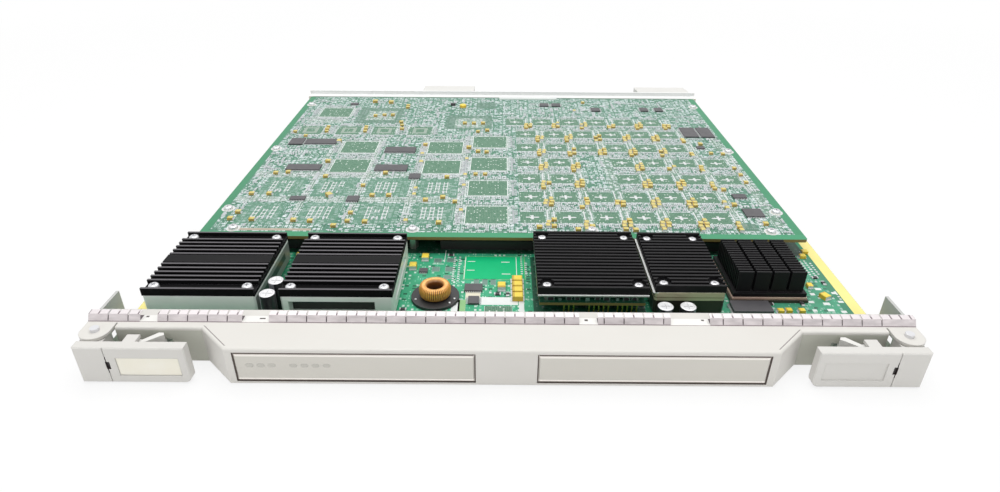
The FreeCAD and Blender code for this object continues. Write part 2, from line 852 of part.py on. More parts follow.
def make_wide_sink(label, x):
    """A black heat sink with fins along X, a fin at each edge and a flat band across the middle."""
    body = new_body(label)
    left = x - s.brick_width / 2
    right = x + s.brick_width / 2
    rear = s.brick_y + s.brick_depth
    middle = s.brick_y + s.brick_depth / 2
    low = brick_top
    high = low + s.wide_sink_height
    pad(body, "XY_Plane", [rectangle(left, right, s.brick_y, rear)], low, low + s.sink_base)
    solid = [
        rectangle(left, right, s.brick_y, s.brick_y + s.wide_fin),
        rectangle(left, right, rear - s.wide_fin, rear),
        rectangle(left, right, middle - s.wide_band / 2, middle + s.wide_band / 2),
    ]
    pad(body, "XY_Plane", solid, low + s.sink_base - BITE, high)
    room = (s.brick_depth - s.wide_band) / 2 - s.wide_fin_margin - s.wide_fin
    count = 1 + int(number(room) / number(s.wide_fin_pitch))
    last = rear - s.wide_fin_margin - s.wide_fin
    for start in (s.brick_y + s.wide_fin_margin, last - s.wide_fin_pitch * (count - 1)):
        fin = pad(body, "XY_Plane", [rectangle(left, right, start, start + s.wide_fin)],
                  low + s.sink_base - BITE, high)
        pattern(body, fin, "Y_Axis", s.wide_fin_pitch, count)


def make_fine_sink(label, x, y, width, depth, low, count):
    """A heat sink with fine fins along X and a round well at each corner for a screw head."""
    body = new_body(label)
    left = x - width / 2
    right = x + width / 2
    high = low + s.fine_sink_height
    pad(body, "XY_Plane", [rectangle(left, right, y, y + depth)], low, low + s.sink_base)
    fin = pad(body, "XY_Plane", [rectangle(left, right, y, y + s.fine_fin)], low + s.sink_base - BITE, high)
    pattern(body, fin, "Y_Axis", (depth - s.fine_fin) / (count - 1), count)
    wells = []
    for side in (-1, 1):
        for edge, inward in ((y, 1), (y + depth, -1)):
            wells.append(facets(x + side * (width / 2 - s.screw_well_inset),
                                edge + inward * s.screw_well_inset, s.screw_well))
    pocket(body, "XY_Plane", wells, low + s.sink_base, high)


# The open brick's pins: where each group starts, as a share of the brick's width, and how many it has
OPEN_PINS = ((-0.25, 3), (-0.02, 5), (0.24, 5))
OPEN_FINS = 19
QUARTER_FINS = 18
PIN_ROWS = 15


def make_open_brick():
    x = s.open_brick_x
    y = s.open_brick_y
    plate_low = brick_top - s.open_plate
    half = s.brick_width / 2
    rear = y + s.brick_depth
    plate = box((x - half, y, plate_low), (x + half, rear, plate_low + s.open_plate))
    node(plate, "converter_3_baseplate")
    board_low = board_top + s.open_board_lift
    board_high = board_low + s.open_board_thick
    inner = s.open_board_setback
    node(box((x - half + inner, y + inner, board_low), (x + half - inner, rear - inner, board_high)),
         "converter_3_board")
    posts = []
    for side in (-1, 1):
        for place in (y + s.open_post_inset, rear - s.open_post_inset):
            posts.append(rod(x + side * (half - s.open_post_inset), place, s.open_post_radius,
                             board_high, plate_low))
    group("converter_3_posts", posts)
    pins = []
    pin_y = y + s.open_board_setback + s.open_post_inset / 2
    for start, count in OPEN_PINS:
        for i in range(count):
            pin_x = x + start * s.brick_width + i * s.open_pin_pitch
            pins.append(block_on(pin_x, pin_y, board_top, s.open_pin_width, s.open_pin_width,
                                 s.open_board_lift))
    group("converter_3_pins", pins)


def make_converters():
    make_case("converter_1_case", brick_one_x, s.brick_y, s.brick_width, s.brick_depth)
    second = make_case("converter_2_case", brick_two_x, s.brick_y, s.brick_width, s.brick_depth)
    open_case(second, brick_two_x, s.brick_y, s.brick_width, s.brick_depth)
    make_case("converter_4_case", s.quarter_x, s.quarter_y, s.quarter_width, s.quarter_depth)
    make_wide_sink("converter_1_heatsink", brick_one_x)
    make_wide_sink("converter_2_heatsink", brick_two_x)
    make_open_brick()
    make_fine_sink("converter_3_heatsink", s.open_brick_x, s.open_brick_y, s.brick_width, s.brick_depth,
                   brick_top, OPEN_FINS)
    make_fine_sink("converter_4_heatsink", s.quarter_x, s.quarter_y, s.quarter_width, s.quarter_depth,
                   brick_top, QUARTER_FINS)


# Processor with its pin-fin heat sink


def make_processor():
    x = s.processor_x
    y = s.processor_y
    lid_low = board_top + s.processor_height
    base_low = lid_low + s.lid_height
    base_high = base_low + s.pin_base_height
    package = block_on(x, y, board_top, s.processor_width, s.processor_width, s.processor_height)
    node(package, "processor_package")
    node(block_on(x, y, lid_low, s.lid_width, s.lid_width, s.lid_height), "processor_lid")
    body = new_body("pin_fin_heatsink")
    half = s.pin_base_width / 2
    pad(body, "XY_Plane", [rectangle(x - half, x + half, y - half, y + half)], base_low, base_high)
    field = s.pin_field / 2
    fin = pad(body, "XY_Plane", [rectangle(x - field, x + field, y - field, y - field + s.pin_thick)],
              base_high - BITE, base_high + s.pin_height)
    pattern(body, fin, "Y_Axis", (s.pin_field - s.pin_thick) / (PIN_ROWS - 1), PIN_ROWS)
    slots = []
    for place in (-1, 0, 1):
        middle = x + place * (s.pin_field + s.pin_slot) / 4
        slots.append(rectangle(middle - s.pin_slot / 2, middle + s.pin_slot / 2,
                               y - field - CLEAR, y + field + CLEAR))
    pocket(body, "XY_Plane", slots, base_high, base_high + s.pin_height)


# Choke and electrolytic capacitors


ROUND_SIDES = 24  # sides of the choke and of the cans


def make_choke():
    seat = board_top + s.choke_base_height
    top = seat + s.choke_height
    node(rod(choke_x, s.choke_y, s.choke_base_radius, board_top, seat, sides=ROUND_SIDES), "choke_base")
    body = new_body("choke_winding")
    ring = [facets(choke_x, s.choke_y, s.choke_radius, ROUND_SIDES),
            facets(choke_x, s.choke_y, s.choke_hole, ROUND_SIDES)]
    pad(body, "XY_Plane", ring, seat, top)
    soften(body, "Chamfer", "Size", s.choke_bevel, lambda middle, along: not upright(middle, along))


# Electrolytic cans: the tall ones from the first brick's middle, the short ones from the quarter brick's
TALL_CANS = ((34.9, 23.4), (35.9, 35.6))
SHORT_CANS = ((-14.5, 20.0), (-2.9, 20.0))


def make_cans():
    body = new_body("electrolytic_capacitors")
    for origin, places, height in ((brick_one_x, TALL_CANS, s.tall_can),
                                   (s.quarter_x, SHORT_CANS, s.short_can)):
        rounds = [facets(origin + x, y, s.can_radius, ROUND_SIDES) for x, y in places]
        pad(body, "XY_Plane", rounds, board_top, board_top + height)
    tops = [number(board_top + height) for height in (s.tall_can, s.short_can)]
    soften(body, "Chamfer", "Size", s.can_bevel,
           lambda middle, along: not upright(middle, along) and any(near(middle.z, top) for top in tops))


# Chips as centre, width and depth. On the main board X is from the choke, or for the quad chip from the
# processor. On the mezzanine Y is from its front edge, and places spread with the board from its drawn size.
MAIN_CHIPS = ((-9.4, 71, 5, 4), (20.6, 53, 10, 7), (21.1, 40.5, 6, 7))
MAIN_QUAD_CHIPS = ((-12, 34.5, 21, 10),)
DRAWN_HALF = 184.5
DRAWN_DEPTH = 279.0
MEMORY_CHIPS = ((-146, 157, 25, 10.5), (-80, 140, 24, 10.5), (-146.5, 104, 25, 10), (-82, 104, 24, 10.5),
                (157, 184, 12, 22), (170.5, 184, 11, 22))
LOGIC_CHIPS = ((-165.5, 157, 11, 13), (-137, 51.5, 10, 5), (-100, 51, 8, 8), (-63, 89, 8, 8),
               (162.5, 34, 12, 11), (161, 59, 9, 6), (85.5, 243, 8, 9), (130, 244, 7, 9),
               (143.5, 244, 7, 9), (39, 256, 8, 8),
               (50, 256, 8, 8), (-138, 255, 7, 5), (158, 149, 6, 5))
CONTROLLERS = ((-113, 148), (-113, 109), (-45, 147), (-45, 108), (-10, 160), (-10, 114), (-10, 71), (-10, 30),
               (-150, 232))
FIELD_COLUMNS = 6
FIELD_ROWS = 7


def field_places():
    """Centres of the signal processor fields, on a grid from the mezzanine's front edge."""
    places = []
    for row in range(FIELD_ROWS):
        shift = -s.last_row_shift if row == FIELD_ROWS - 1 else 0
        for column in range(FIELD_COLUMNS):
            if column == 2 and row in (2, 3):
                continue
            places.append((s.first_field_x + shift + column * s.field_pitch_x,
                           s.mezz_front + s.first_field_y + row * s.field_pitch_y))
    return places


def main_chips(places, origin_x, height):
    return [block_on(origin_x + x, y, board_top, width, depth, height) for x, y, width, depth in places]


def spread(x, y):
    """A place on the mezzanine, which spreads with the board."""
    return mezz_half * x / DRAWN_HALF, s.mezz_front + s.mezz_depth * y / DRAWN_DEPTH


def mezz_chips(places):
    return [block_on(*spread(x, y), mezz_top, width, depth, s.chip_height) for x, y, width, depth in places]


def make_small_parts():
    group("main_chips", main_chips(MAIN_CHIPS, choke_x, s.chip_height)
          + main_chips(MAIN_QUAD_CHIPS, s.processor_x, s.quad_chip_height))
    group("mezzanine_memory_chips", mezz_chips(MEMORY_CHIPS))
    group("mezzanine_logic_chips", mezz_chips(LOGIC_CHIPS))
    below = [block_on(x, y, mezz_low - s.dsp_height, s.dsp_width, s.dsp_width, s.dsp_height)
             for x, y in field_places()]
    group("signal_processor_chips", below)
    large = [block_on(*spread(x, y), mezz_low - s.controller_height, s.controller_width,
                      s.controller_depth, s.controller_height) for x, y in CONTROLLERS]
    group("controller_chips", large)


# Ejector levers, their pivots and latches


def make_lever(side, name):
    body = new_body(name + "_ejector_lever")
    inner = side * lever_inner
    outer = side * lever_outer
    middle_z = (s.lever_low + s.lever_high) / 2
    pad(body, "XZ_Plane", [rectangle(inner, outer, s.lever_low, s.lever_high)], front, lever_back)

    def low_corner(middle, along):
        return abs(along.y) > 1 and near(middle.x, inner) and near(middle.z, s.lever_low)

    soften(body, "Fillet", "Radius", s.lever_corner, low_corner)
    soften(body, "Chamfer", "Size", s.lever_edge, lambda middle, along: near(middle.y, front))
    hub_low = flange_low + s.run_gap
    hub_high = flange_high - s.run_gap
    hub_x = side * pivot_x
    arm = [
        (side * (pivot_x - s.hub_radius), pivot_y), (side * (pivot_x - s.hub_radius), lever_back - BITE),
        (outer, lever_back - BITE), (outer, lever_back), (side * (pivot_x + s.hub_radius), pivot_y),
    ]
    pad(body, "XY_Plane", [arm], hub_low, hub_high)
    pad(body, "XY_Plane", [(hub_x, pivot_y, s.hub_radius)], hub_low, hub_high)
    tip = pivot_y + s.claw_reach
    root = pivot_y + s.hub_radius * 0.6
    jaw = s.claw_reach * 0.26
    claw = [
        (side * (pivot_x + 0.2 * jaw), root), (side * (pivot_x + 1.8 * jaw), root - 0.2 * jaw),
        (side * (pivot_x + 1.9 * jaw), tip - 0.6 * jaw), (side * (pivot_x + 1.2 * jaw), tip),
        (side * (pivot_x + 0.1 * jaw), tip - 0.45 * jaw), (side * (pivot_x + 0.35 * jaw), tip - jaw),
        (side * (pivot_x + jaw), tip - 0.95 * jaw), (side * (pivot_x + 0.8 * jaw), tip - 1.9 * jaw),
    ]
    pad(body, "XY_Plane", [claw], s.claw_low, s.claw_high)
    lug = rectangle(side * (latch_x - s.latch_lug), side * (latch_x + s.latch_lug),
                    lever_back - BITE, latch_y + s.latch_lug)
    pad(body, "XY_Plane", [lug], s.lever_low, s.lever_low + s.lever_wall)
    pad(body, "XY_Plane", [lug], s.lever_high - s.lever_wall, s.lever_high)
    tray = rectangle(side * (lever_inner + s.lever_wall), side * (lever_seam_x + s.lever_wall),
                     s.lever_low + s.lever_wall, s.lever_high - s.lever_wall)
    pocket(body, "XZ_Plane", [tray], front + s.lever_wall, lever_back + CLEAR)
    slot_x = lever_outer - s.lever_slot_in
    slot = rectangle(side * slot_x, side * (slot_x + s.lever_slot_width),
                     middle_z - s.lever_slot_height / 2, middle_z + s.lever_slot_height / 2)
    pocket(body, "XZ_Plane", [slot], front, front + s.lever_wall + CLEAR)
    seam = rectangle(side * lever_seam_x, side * (lever_seam_x + s.lever_seam),
                     s.lever_low - CLEAR, s.lever_high + CLEAR)
    pocket(body, "XZ_Plane", [seam], front, front + s.lever_seam)
    recess = rectangle(side * label_inner, side * label_outer, s.label_low, s.label_high)
    pocket(body, "XZ_Plane", [recess], front, front + s.label_recess)
    pivot_hole = (hub_x, pivot_y, s.pivot_radius + s.fit_gap)
    pocket(body, "XY_Plane", [pivot_hole], hub_low - CLEAR, hub_high + CLEAR)
    pin_low = s.lever_low + s.lever_wall / 2
    pin_high = s.lever_high - s.lever_wall / 2
    pin_hole = facets(side * latch_x, latch_y, s.latch_pin_radius + s.fit_gap)
    pocket(body, "XY_Plane", [pin_hole], pin_low, pin_high)


def make_latch(side, name):
    body = new_body(name + "_lever_latch")
    x = latch_x
    y = latch_y
    press_y = front + s.lever_wall + s.run_gap
    press = x + s.latch_press
    nose_rear = recess_inside - s.run_gap
    arm = s.latch_barrel * 0.8
    shoulder = -s.recess_front - s.latch_reach
    nose_out = latch_nose_x
    nose_in = latch_nose_x - s.latch_nose_width
    outline = [
        (press, press_y), (press, press_y + arm), (press - 1.4 * arm, press_y + 1.2 * arm),
        (x + 0.9 * s.latch_barrel, y + 0.6 * s.latch_barrel), (x, y + s.latch_barrel),
        (x - 1.2 * arm, y + 1.15 * s.latch_barrel), (x - 2.2 * arm, y + 0.9 * s.latch_barrel),
        (nose_out, shoulder), (nose_in, shoulder), (nose_in - 0.6 * arm, shoulder - arm),
        (nose_in + 0.3 * arm, shoulder - 1.6 * arm), (x - 2.4 * arm, y - 0.5 * s.latch_barrel),
        (x, y - s.latch_barrel), (press - 2 * arm, press_y),
    ]
    pad(body, "XY_Plane", [[(side * px, py) for px, py in outline]], s.latch_low, s.latch_high)
    nose = [(nose_out, shoulder - BITE), (nose_out, nose_rear), (nose_in + 0.5 * arm, nose_rear),
            (nose_in, shoulder + 0.5 * arm), (nose_in, shoulder - BITE)]
    pad(body, "XY_Plane", [[(side * px, py) for px, py in nose]], s.latch_nose_low, s.latch_nose_high)
    pocket(body, "XY_Plane", [(side * x, y, s.latch_pin_radius + s.fit_gap)],
           s.latch_low - CLEAR, s.latch_high + CLEAR)
    pin_low = s.lever_low + s.lever_wall / 2
    pin_high = s.lever_high - s.lever_wall / 2
    node(cylinder(side * x, y, s.latch_pin_radius, pin_low, pin_high), name + "_latch_pin")


def make_pivot(side, name):
    x = side * pivot_x
    shank = cylinder(x, pivot_y, s.pivot_radius, s.pivot_foot_gap, s.plate_height + BITE)
    head = rod(x, pivot_y, s.pivot_head_radius, s.plate_height, s.plate_height + s.pivot_head_height,
               sides=ROUND_SIDES)
    node(fuse([shank, head]), name + "_lever_pivot")


def make_label():
    floor = front + s.label_recess
    node(box((-label_outer + s.label_gap, floor - s.label_thick, s.label_low + s.label_gap),
             (-label_inner - s.label_gap, floor, s.label_high - s.label_gap)), "lever_label")


make_faceplate()
make_gasket()
make_inserts()
make_lights()
make_boards()
make_fasteners()
make_links()
make_rear()
make_converters()
make_processor()
make_choke()
make_cans()
make_small_parts()
for lever_side, lever_name in ((-1, "left"), (1, "right")):
    make_lever(lever_side, lever_name)
    make_latch(lever_side, lever_name)
    make_pivot(lever_side, lever_name)
make_label()
doc.recompute()

for item in doc.Objects:
    if "Invalid" in item.State or "Error" in item.State:
        raise RuntimeError("%s failed: %s" % (item.Label, item.State))
for item in nodes:
    if item.Shape.isNull() or not item.Shape.isValid() or not item.Shape.Solids:
        raise RuntimeError("%s has no valid solid" % item.Label)

os.makedirs("parts", exist_ok=True)
for item in nodes:
    item.Shape.exportStep("parts/%s.step" % item.Label)
print("%d sub-parts, %d solids" % (len(nodes), sum(len(item.Shape.Solids) for item in nodes)))
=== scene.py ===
import math
import random

import bmesh
import bpy
from mathutils import Matrix, Vector


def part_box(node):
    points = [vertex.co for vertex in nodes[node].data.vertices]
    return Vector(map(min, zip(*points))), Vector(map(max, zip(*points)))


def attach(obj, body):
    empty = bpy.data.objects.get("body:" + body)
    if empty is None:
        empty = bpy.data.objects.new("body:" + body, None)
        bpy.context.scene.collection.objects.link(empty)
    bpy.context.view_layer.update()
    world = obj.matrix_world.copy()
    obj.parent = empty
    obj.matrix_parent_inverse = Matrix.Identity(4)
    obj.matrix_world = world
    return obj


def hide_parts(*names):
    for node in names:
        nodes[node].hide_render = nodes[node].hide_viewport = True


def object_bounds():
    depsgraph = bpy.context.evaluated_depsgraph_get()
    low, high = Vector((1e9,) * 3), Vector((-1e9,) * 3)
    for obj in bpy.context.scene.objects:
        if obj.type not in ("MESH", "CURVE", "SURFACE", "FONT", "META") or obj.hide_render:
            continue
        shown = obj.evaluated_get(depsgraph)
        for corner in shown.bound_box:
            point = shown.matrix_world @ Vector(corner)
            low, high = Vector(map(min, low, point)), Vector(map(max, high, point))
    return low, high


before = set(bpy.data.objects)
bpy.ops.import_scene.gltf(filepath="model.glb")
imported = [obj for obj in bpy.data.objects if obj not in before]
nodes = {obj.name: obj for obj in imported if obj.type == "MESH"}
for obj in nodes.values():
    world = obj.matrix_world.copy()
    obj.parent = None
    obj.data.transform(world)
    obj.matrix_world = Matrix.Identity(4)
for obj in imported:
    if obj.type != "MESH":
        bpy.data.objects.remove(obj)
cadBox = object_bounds()
mm = 0.001
far = 999
plain = (1, 1, 1)
chance = random.Random(41)
print("frame loaded:", len(nodes), "nodes")


# Modelling helpers, all sizes in mm

def boxOf(node):
    low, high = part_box(node)
    return low / mm, high / mm


boardTop = boxOf("main_board")[1].z
mezzTop = boxOf("mezzanine_board")[1].z


def deselect():
    bpy.ops.object.select_all(action="DESELECT")


def makeActive(piece):
    deselect()
    piece.select_set(True)
    bpy.context.view_layer.objects.active = piece


def named(name):
    piece = bpy.context.object
    piece.name = name
    piece.data.name = name
    bpy.ops.object.transform_apply(location=True, rotation=True, scale=True)
    return piece


def newBlock(name, size, centre=None):
    # without a centre, the block stands on the origin
    deselect()
    centre = centre or (0, 0, size[2] / 2)
    bpy.ops.mesh.primitive_cube_add(size=1, location=[c * mm for c in centre], scale=[s * mm for s in size])
    return named(name)


def newRound(name, radius, height, sides=24, base=(0, 0, 0)):
    deselect()
    centre = (base[0] * mm, base[1] * mm, (base[2] + height / 2) * mm)
    bpy.ops.mesh.primitive_cylinder_add(vertices=sides, radius=radius * mm, depth=height * mm, location=centre)
    return named(name)


def pick(piece, kind, chosen):
    # opens the piece in edit mode with only the chosen faces or edges selected
    makeActive(piece)
    bpy.ops.object.mode_set(mode="EDIT")
    bpy.ops.mesh.select_mode(type=kind)
    bpy.ops.mesh.select_all(action="DESELECT")
    mesh = bmesh.from_edit_mesh(piece.data)
    mesh.normal_update()
    for item in [i for i in (mesh.faces if kind == "FACE" else mesh.edges) if chosen(i)]:
        item.select_set(True)
    bmesh.update_edit_mesh(piece.data)


def leave():
    bpy.ops.object.mode_set(mode="OBJECT")


def insetFaces(piece, chosen, width, depth=0.0):
    pick(piece, "FACE", chosen)
    bpy.ops.mesh.inset(thickness=width * mm, depth=depth * mm)
    leave()


def pushFaces(piece, chosen, move):
    pick(piece, "FACE", chosen)
    bpy.ops.mesh.extrude_region_move(TRANSFORM_OT_translate={"value": [m * mm for m in move]})
    leave()


def growFaces(piece, chosen, reach):
    # each chosen face is drawn out along its own normal
    pick(piece, "FACE", chosen)
    bpy.ops.mesh.extrude_faces_move(TRANSFORM_OT_shrink_fatten={"value": reach * mm})
    leave()


def bevelEdges(piece, chosen, width, segments=2):
    pick(piece, "EDGE", chosen)
    bpy.ops.mesh.bevel(offset=width * mm, segments=segments, affect="EDGES")
    leave()


def splitAt(piece, point, way):
    pick(piece, "FACE", anything)
    bpy.ops.mesh.bisect(plane_co=point, plane_no=way)
    leave()


def cutOut(piece, cutter):
    makeActive(piece)
    bpy.ops.object.modifier_add(type="BOOLEAN")
    piece.modifiers[-1].object = cutter
    piece.modifiers[-1].operation = "DIFFERENCE"
    bpy.ops.object.modifier_apply(modifier=piece.modifiers[-1].name)
    bpy.data.objects.remove(cutter)


def joinUp(name, pieces):
    makeActive(pieces[0])
    for piece in pieces:
        piece.select_set(True)
    bpy.ops.object.join()
    pieces[0].name = name
    return pieces[0]


# Tests that pick faces and edges

def anything(item):
    return True


def facing(x=0, y=0, z=0, least=0.9):
    return lambda face: face.normal.dot(Vector((x, y, z))) > least


def ends(axis):
    return lambda face: abs(face.normal[axis]) > 0.9


def atHeight(height):
    return lambda edge: all(abs(v.co.z - height * mm) < 1e-6 for v in edge.verts)


def paintFaces(piece, names, choose=lambda face: 0):
    for name in names:
        piece.data.materials.append(finishes[name])
    for face in piece.data.polygons:
        face.material_index = choose(face)


# Small forms that come back

def plusBlock(name, core, reachX, reachY, height):
    plus = newBlock(name, (core, core, height), (0, 0, 0))
    growFaces(plus, ends(0), reachX)
    growFaces(plus, lambda face: ends(1)(face) and abs(face.calc_center_median().x) < core * mm / 2, reachY)
    return plus


def land(name, size, rim, field="solderTin", rimFinish=None):
    # a flat land with a narrow rim, which can have its own finish
    piece = newBlock(name, size)
    insetFaces(piece, facing(z=1), rim)
    if rimFinish:
        narrow = 0.1 * mm * mm
        paintFaces(piece, [field, rimFinish], lambda face: int(face.normal.z > 0.9 and face.area < narrow))
    else:
        paintFaces(piece, [field])
    return piece


def cappedPart(name, size, end, body, cap="solderTin", axis=0, chamfer=None):
    # a small part with a metal cap at both ends
    piece = newBlock(name, size)
    growFaces(piece, ends(axis), end)
    if chamfer:
        bevelEdges(piece, atHeight(size[2]), chamfer, 1)
    paintFaces(piece, [body, cap], lambda face: int(abs(face.center[axis]) > size[axis] / 2 * mm))
    return piece


def at(x, y, z, turn=0, stretch=plain):
    return (x, y, z), turn, stretch


def copies(name, master, places):
    # one modelled piece set down again and again: (x, y, z), turn in degrees, stretch
    mesh = bmesh.new()
    for spot, turn, stretch in places:
        copy = master.data.copy()
        copy.transform(Matrix.Translation(Vector(spot) * mm) @ Matrix.Rotation(math.radians(turn), 4, "Z")
                       @ Matrix.Diagonal((*stretch, 1)))
        mesh.from_mesh(copy, face_normals=False, vertex_normals=False)
        bpy.data.meshes.remove(copy)
    mesh.normal_update()
    data = bpy.data.meshes.new(name)
    mesh.to_mesh(data)
    mesh.free()
    for made in master.data.materials:
        data.materials.append(made)
    piece = bpy.data.objects.new(name, data)
    bpy.context.scene.collection.objects.link(piece)
    bpy.data.objects.remove(master)
    return piece


def setDown(piece, slot, instead=None, smooth=30):
    makeActive(piece)
    bpy.ops.object.shade_smooth_by_angle(angle=math.radians(smooth))
    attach(piece, "card")
    if instead:
        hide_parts(instead)
    return piece


def spread(name, master, places, slot, **rest):
    return setDown(copies(name, master, places), slot, **rest)


def islandBoxes(node):
    # the box of every separate solid in a node, from its own mesh
    mesh = bmesh.new()
    mesh.from_mesh(nodes[node].data)
    bmesh.ops.remove_doubles(mesh, verts=mesh.verts, dist=1e-6)
    left = set(mesh.verts)
    boxes = []
    while left:
        group = [left.pop()]
        for vert in group:
            for edge in vert.link_edges:
                other = edge.other_vert(vert)
                if other in left:
                    left.remove(other)
                    group.append(other)
        low = Vector([min(v.co[i] for v in group) for i in range(3)]) / mm
        high = Vector([max(v.co[i] for v in group) for i in range(3)]) / mm
        boxes.append((low, high))
    mesh.free()
    return sorted(boxes, key=lambda pair: tuple(round(c, 2) for c in pair[0]))


# Shader helpers

def tint(red, green, blue):
    shares = [c / 255 for c in (red, green, blue)]
    return [s / 12.92 if s <= 0.04045 else ((s + 0.055) / 1.055) ** 2.4 for s in shares] + [1.0]


def newGroup(name, inputs, outputs):
    tree = bpy.data.node_groups.new(name, "ShaderNodeTree")
    for label, kind, value in inputs:
        tree.interface.new_socket(label, in_out="INPUT", socket_type="NodeSocket" + kind).default_value = value
    for label, kind in outputs:
        tree.interface.new_socket(label, in_out="OUTPUT", socket_type="NodeSocket" + kind)
    return tree, tree.nodes.new("NodeGroupInput").outputs, tree.nodes.new("NodeGroupOutput").inputs


def put(tree, kind, **settings):
    node = tree.nodes.new("ShaderNode" + kind)
    for key, value in settings.items():
        setattr(node, key, value)
    return node


def wire(tree, start, end):
    tree.links.new(start, end)


def feed(tree, value, socket):
    if isinstance(value, (int, float, list)):
        socket.default_value = value
    else:
        wire(tree, value, socket)


def useGroup(tree, group, values):
    node = put(tree, "Group", node_tree=group)
    for label, value in values.items():
        node.inputs[label].default_value = value
    return node


def maths(tree, operation, *values):
    node = put(tree, "Math", operation=operation)
    for socket, value in zip(node.inputs, values):
        feed(tree, value, socket)
    return node.outputs[0]


def times(tree, mask, *others):
    for other in others:
        mask = maths(tree, "MULTIPLY", mask, other)
    return mask


def blendColours(tree, factor, first, second):
    node = put(tree, "Mix", data_type="RGBA")
    for socket, value in ((node.inputs[0], factor), (node.inputs[6], first), (node.inputs[7], second)):
        feed(tree, value, socket)
    return node.outputs[2]


def placeCoords(tree):
    return put(tree, "TexCoord").outputs["Object"]


def splitCoords(tree, vector):
    parts = put(tree, "SeparateXYZ")
    wire(tree, vector, parts.inputs[0])
    return parts.outputs


def between(tree, value, low, high):
    return times(tree, maths(tree, "GREATER_THAN", value, low * mm), maths(tree, "LESS_THAN", value, high * mm))


def midCell(tree, value, half):
    # 1 round the middle of each whole step of the value
    away = maths(tree, "ABSOLUTE", maths(tree, "SUBTRACT", maths(tree, "FRACT", value), 0.5))
    return maths(tree, "LESS_THAN", away, half)


def awayFrom(tree, middleX, middleY):
    x, y, _ = splitCoords(tree, placeCoords(tree))
    gaps = [maths(tree, "SUBTRACT", x, middleX * mm), maths(tree, "SUBTRACT", y, middleY * mm)]
    return maths(tree, "SQRT", maths(tree, "ADD", *[times(tree, gap, gap) for gap in gaps]))


sideTests = {"up": (2, "GREATER_THAN"), "notUp": (2, "LESS_THAN"), "ahead": (1, "LESS_THAN"),
             "behind": (1, "GREATER_THAN"), "left": (0, "LESS_THAN"), "right": (0, "GREATER_THAN")}


def faces(tree, way, limit):
    # 1 where the surface's normal is past the limit on that way's axis
    axis, operation = sideTests[way]
    return maths(tree, operation, splitCoords(tree, put(tree, "NewGeometry").outputs["Normal"])[axis], limit)


# Shared shader effects

def makeMottle():
    # cloudy colour, uneven gloss and fine grain, stretched along a direction for rolled or brushed stock
    tree, given, result = newGroup(
        "mottle",
        [("Colour", "Color", (1, 1, 1, 1)), ("Shade", "Color", (0.5, 0.5, 0.5, 1)), ("Stretch", "Vector", plain),
         ("Patch", "Float", 60.0), ("Grain", "Float", 2000.0), ("Gloss", "Float", 0.5), ("Spread", "Float", 0.2)],
        [("Colour", "Color"), ("Roughness", "Float"), ("Height", "Float")])
    scaled = put(tree, "VectorMath", operation="MULTIPLY")
    wire(tree, placeCoords(tree), scaled.inputs[0])
    wire(tree, given["Stretch"], scaled.inputs[1])
    patch = put(tree, "TexNoise")
    grain = put(tree, "TexNoise")
    for noise, label, detail in ((patch, "Patch", 4.0), (grain, "Grain", 2.0)):
        wire(tree, scaled.outputs[0], noise.inputs["Vector"])
        wire(tree, given[label], noise.inputs["Scale"])
        noise.inputs["Detail"].default_value = detail
    wire(tree, blendColours(tree, patch.outputs["Fac"], given["Colour"], given["Shade"]), result["Colour"])
    uneven = maths(tree, "SUBTRACT", patch.outputs["Fac"], 0.5)
    wire(tree, maths(tree, "MULTIPLY_ADD", uneven, given["Spread"], given["Gloss"]), result["Roughness"])
    wire(tree, grain.outputs["Fac"], result["Height"])
    return tree


def makeSoftEdge():
    # a rounded edge for the light to catch, and a mask of the edges that take a lighter tone: part wear, part painted
    # highlight
    tree, given, result = newGroup("softEdge", [("Radius", "Float", 0.0003)], [("Normal", "Vector"), ("WearAndHighlight", "Float")])
    rounded = put(tree, "Bevel", samples=4)
    wire(tree, given["Radius"], rounded.inputs["Radius"])
    wire(tree, rounded.outputs[0], result["Normal"])
    turn = put(tree, "VectorMath", operation="DOT_PRODUCT")
    wire(tree, rounded.outputs[0], turn.inputs[0])
    wire(tree, put(tree, "NewGeometry").outputs["Normal"], turn.inputs[1])
    off = maths(tree, "SUBTRACT", 1.0, turn.outputs["Value"])
    wire(tree, maths(tree, "MINIMUM", times(tree, off, 6.0), 1.0), result["WearAndHighlight"])
    return tree


def makePadRows():
    # small bright lands in rows, some of them missing
    tree, given, result = newGroup(
        "padRows",
        [("Across", "Float", 700.0), ("Along", "Float", 450.0), ("Filled", "Float", 0.5), ("Width", "Float", 0.5),
         ("Length", "Float", 0.6)],
        [("Mask", "Float"), ("Tone", "Float")])
    x, y, _ = splitCoords(tree, placeCoords(tree))
    cellX = times(tree, x, given["Across"])
    cellY = times(tree, y, given["Along"])
    cell = put(tree, "CombineXYZ")
    wire(tree, maths(tree, "FLOOR", cellX), cell.inputs[0])
    wire(tree, maths(tree, "FLOOR", cellY), cell.inputs[1])
    dice = put(tree, "TexWhiteNoise", noise_dimensions="2D")
    wire(tree, cell.outputs[0], dice.inputs["Vector"])
    inside = maths(tree, "LESS_THAN", dice.outputs["Value"], given["Filled"])
    for axis, size in ((cellX, "Width"), (cellY, "Length")):
        inside = times(tree, inside, midCell(tree, axis, times(tree, given[size], 0.5)))
    wire(tree, inside, result["Mask"])
    wire(tree, dice.outputs["Value"], result["Tone"])
    return tree


mottle = makeMottle()
softEdge = makeSoftEdge()
padRows = makePadRows()
print("shared effects made")


# Finishes

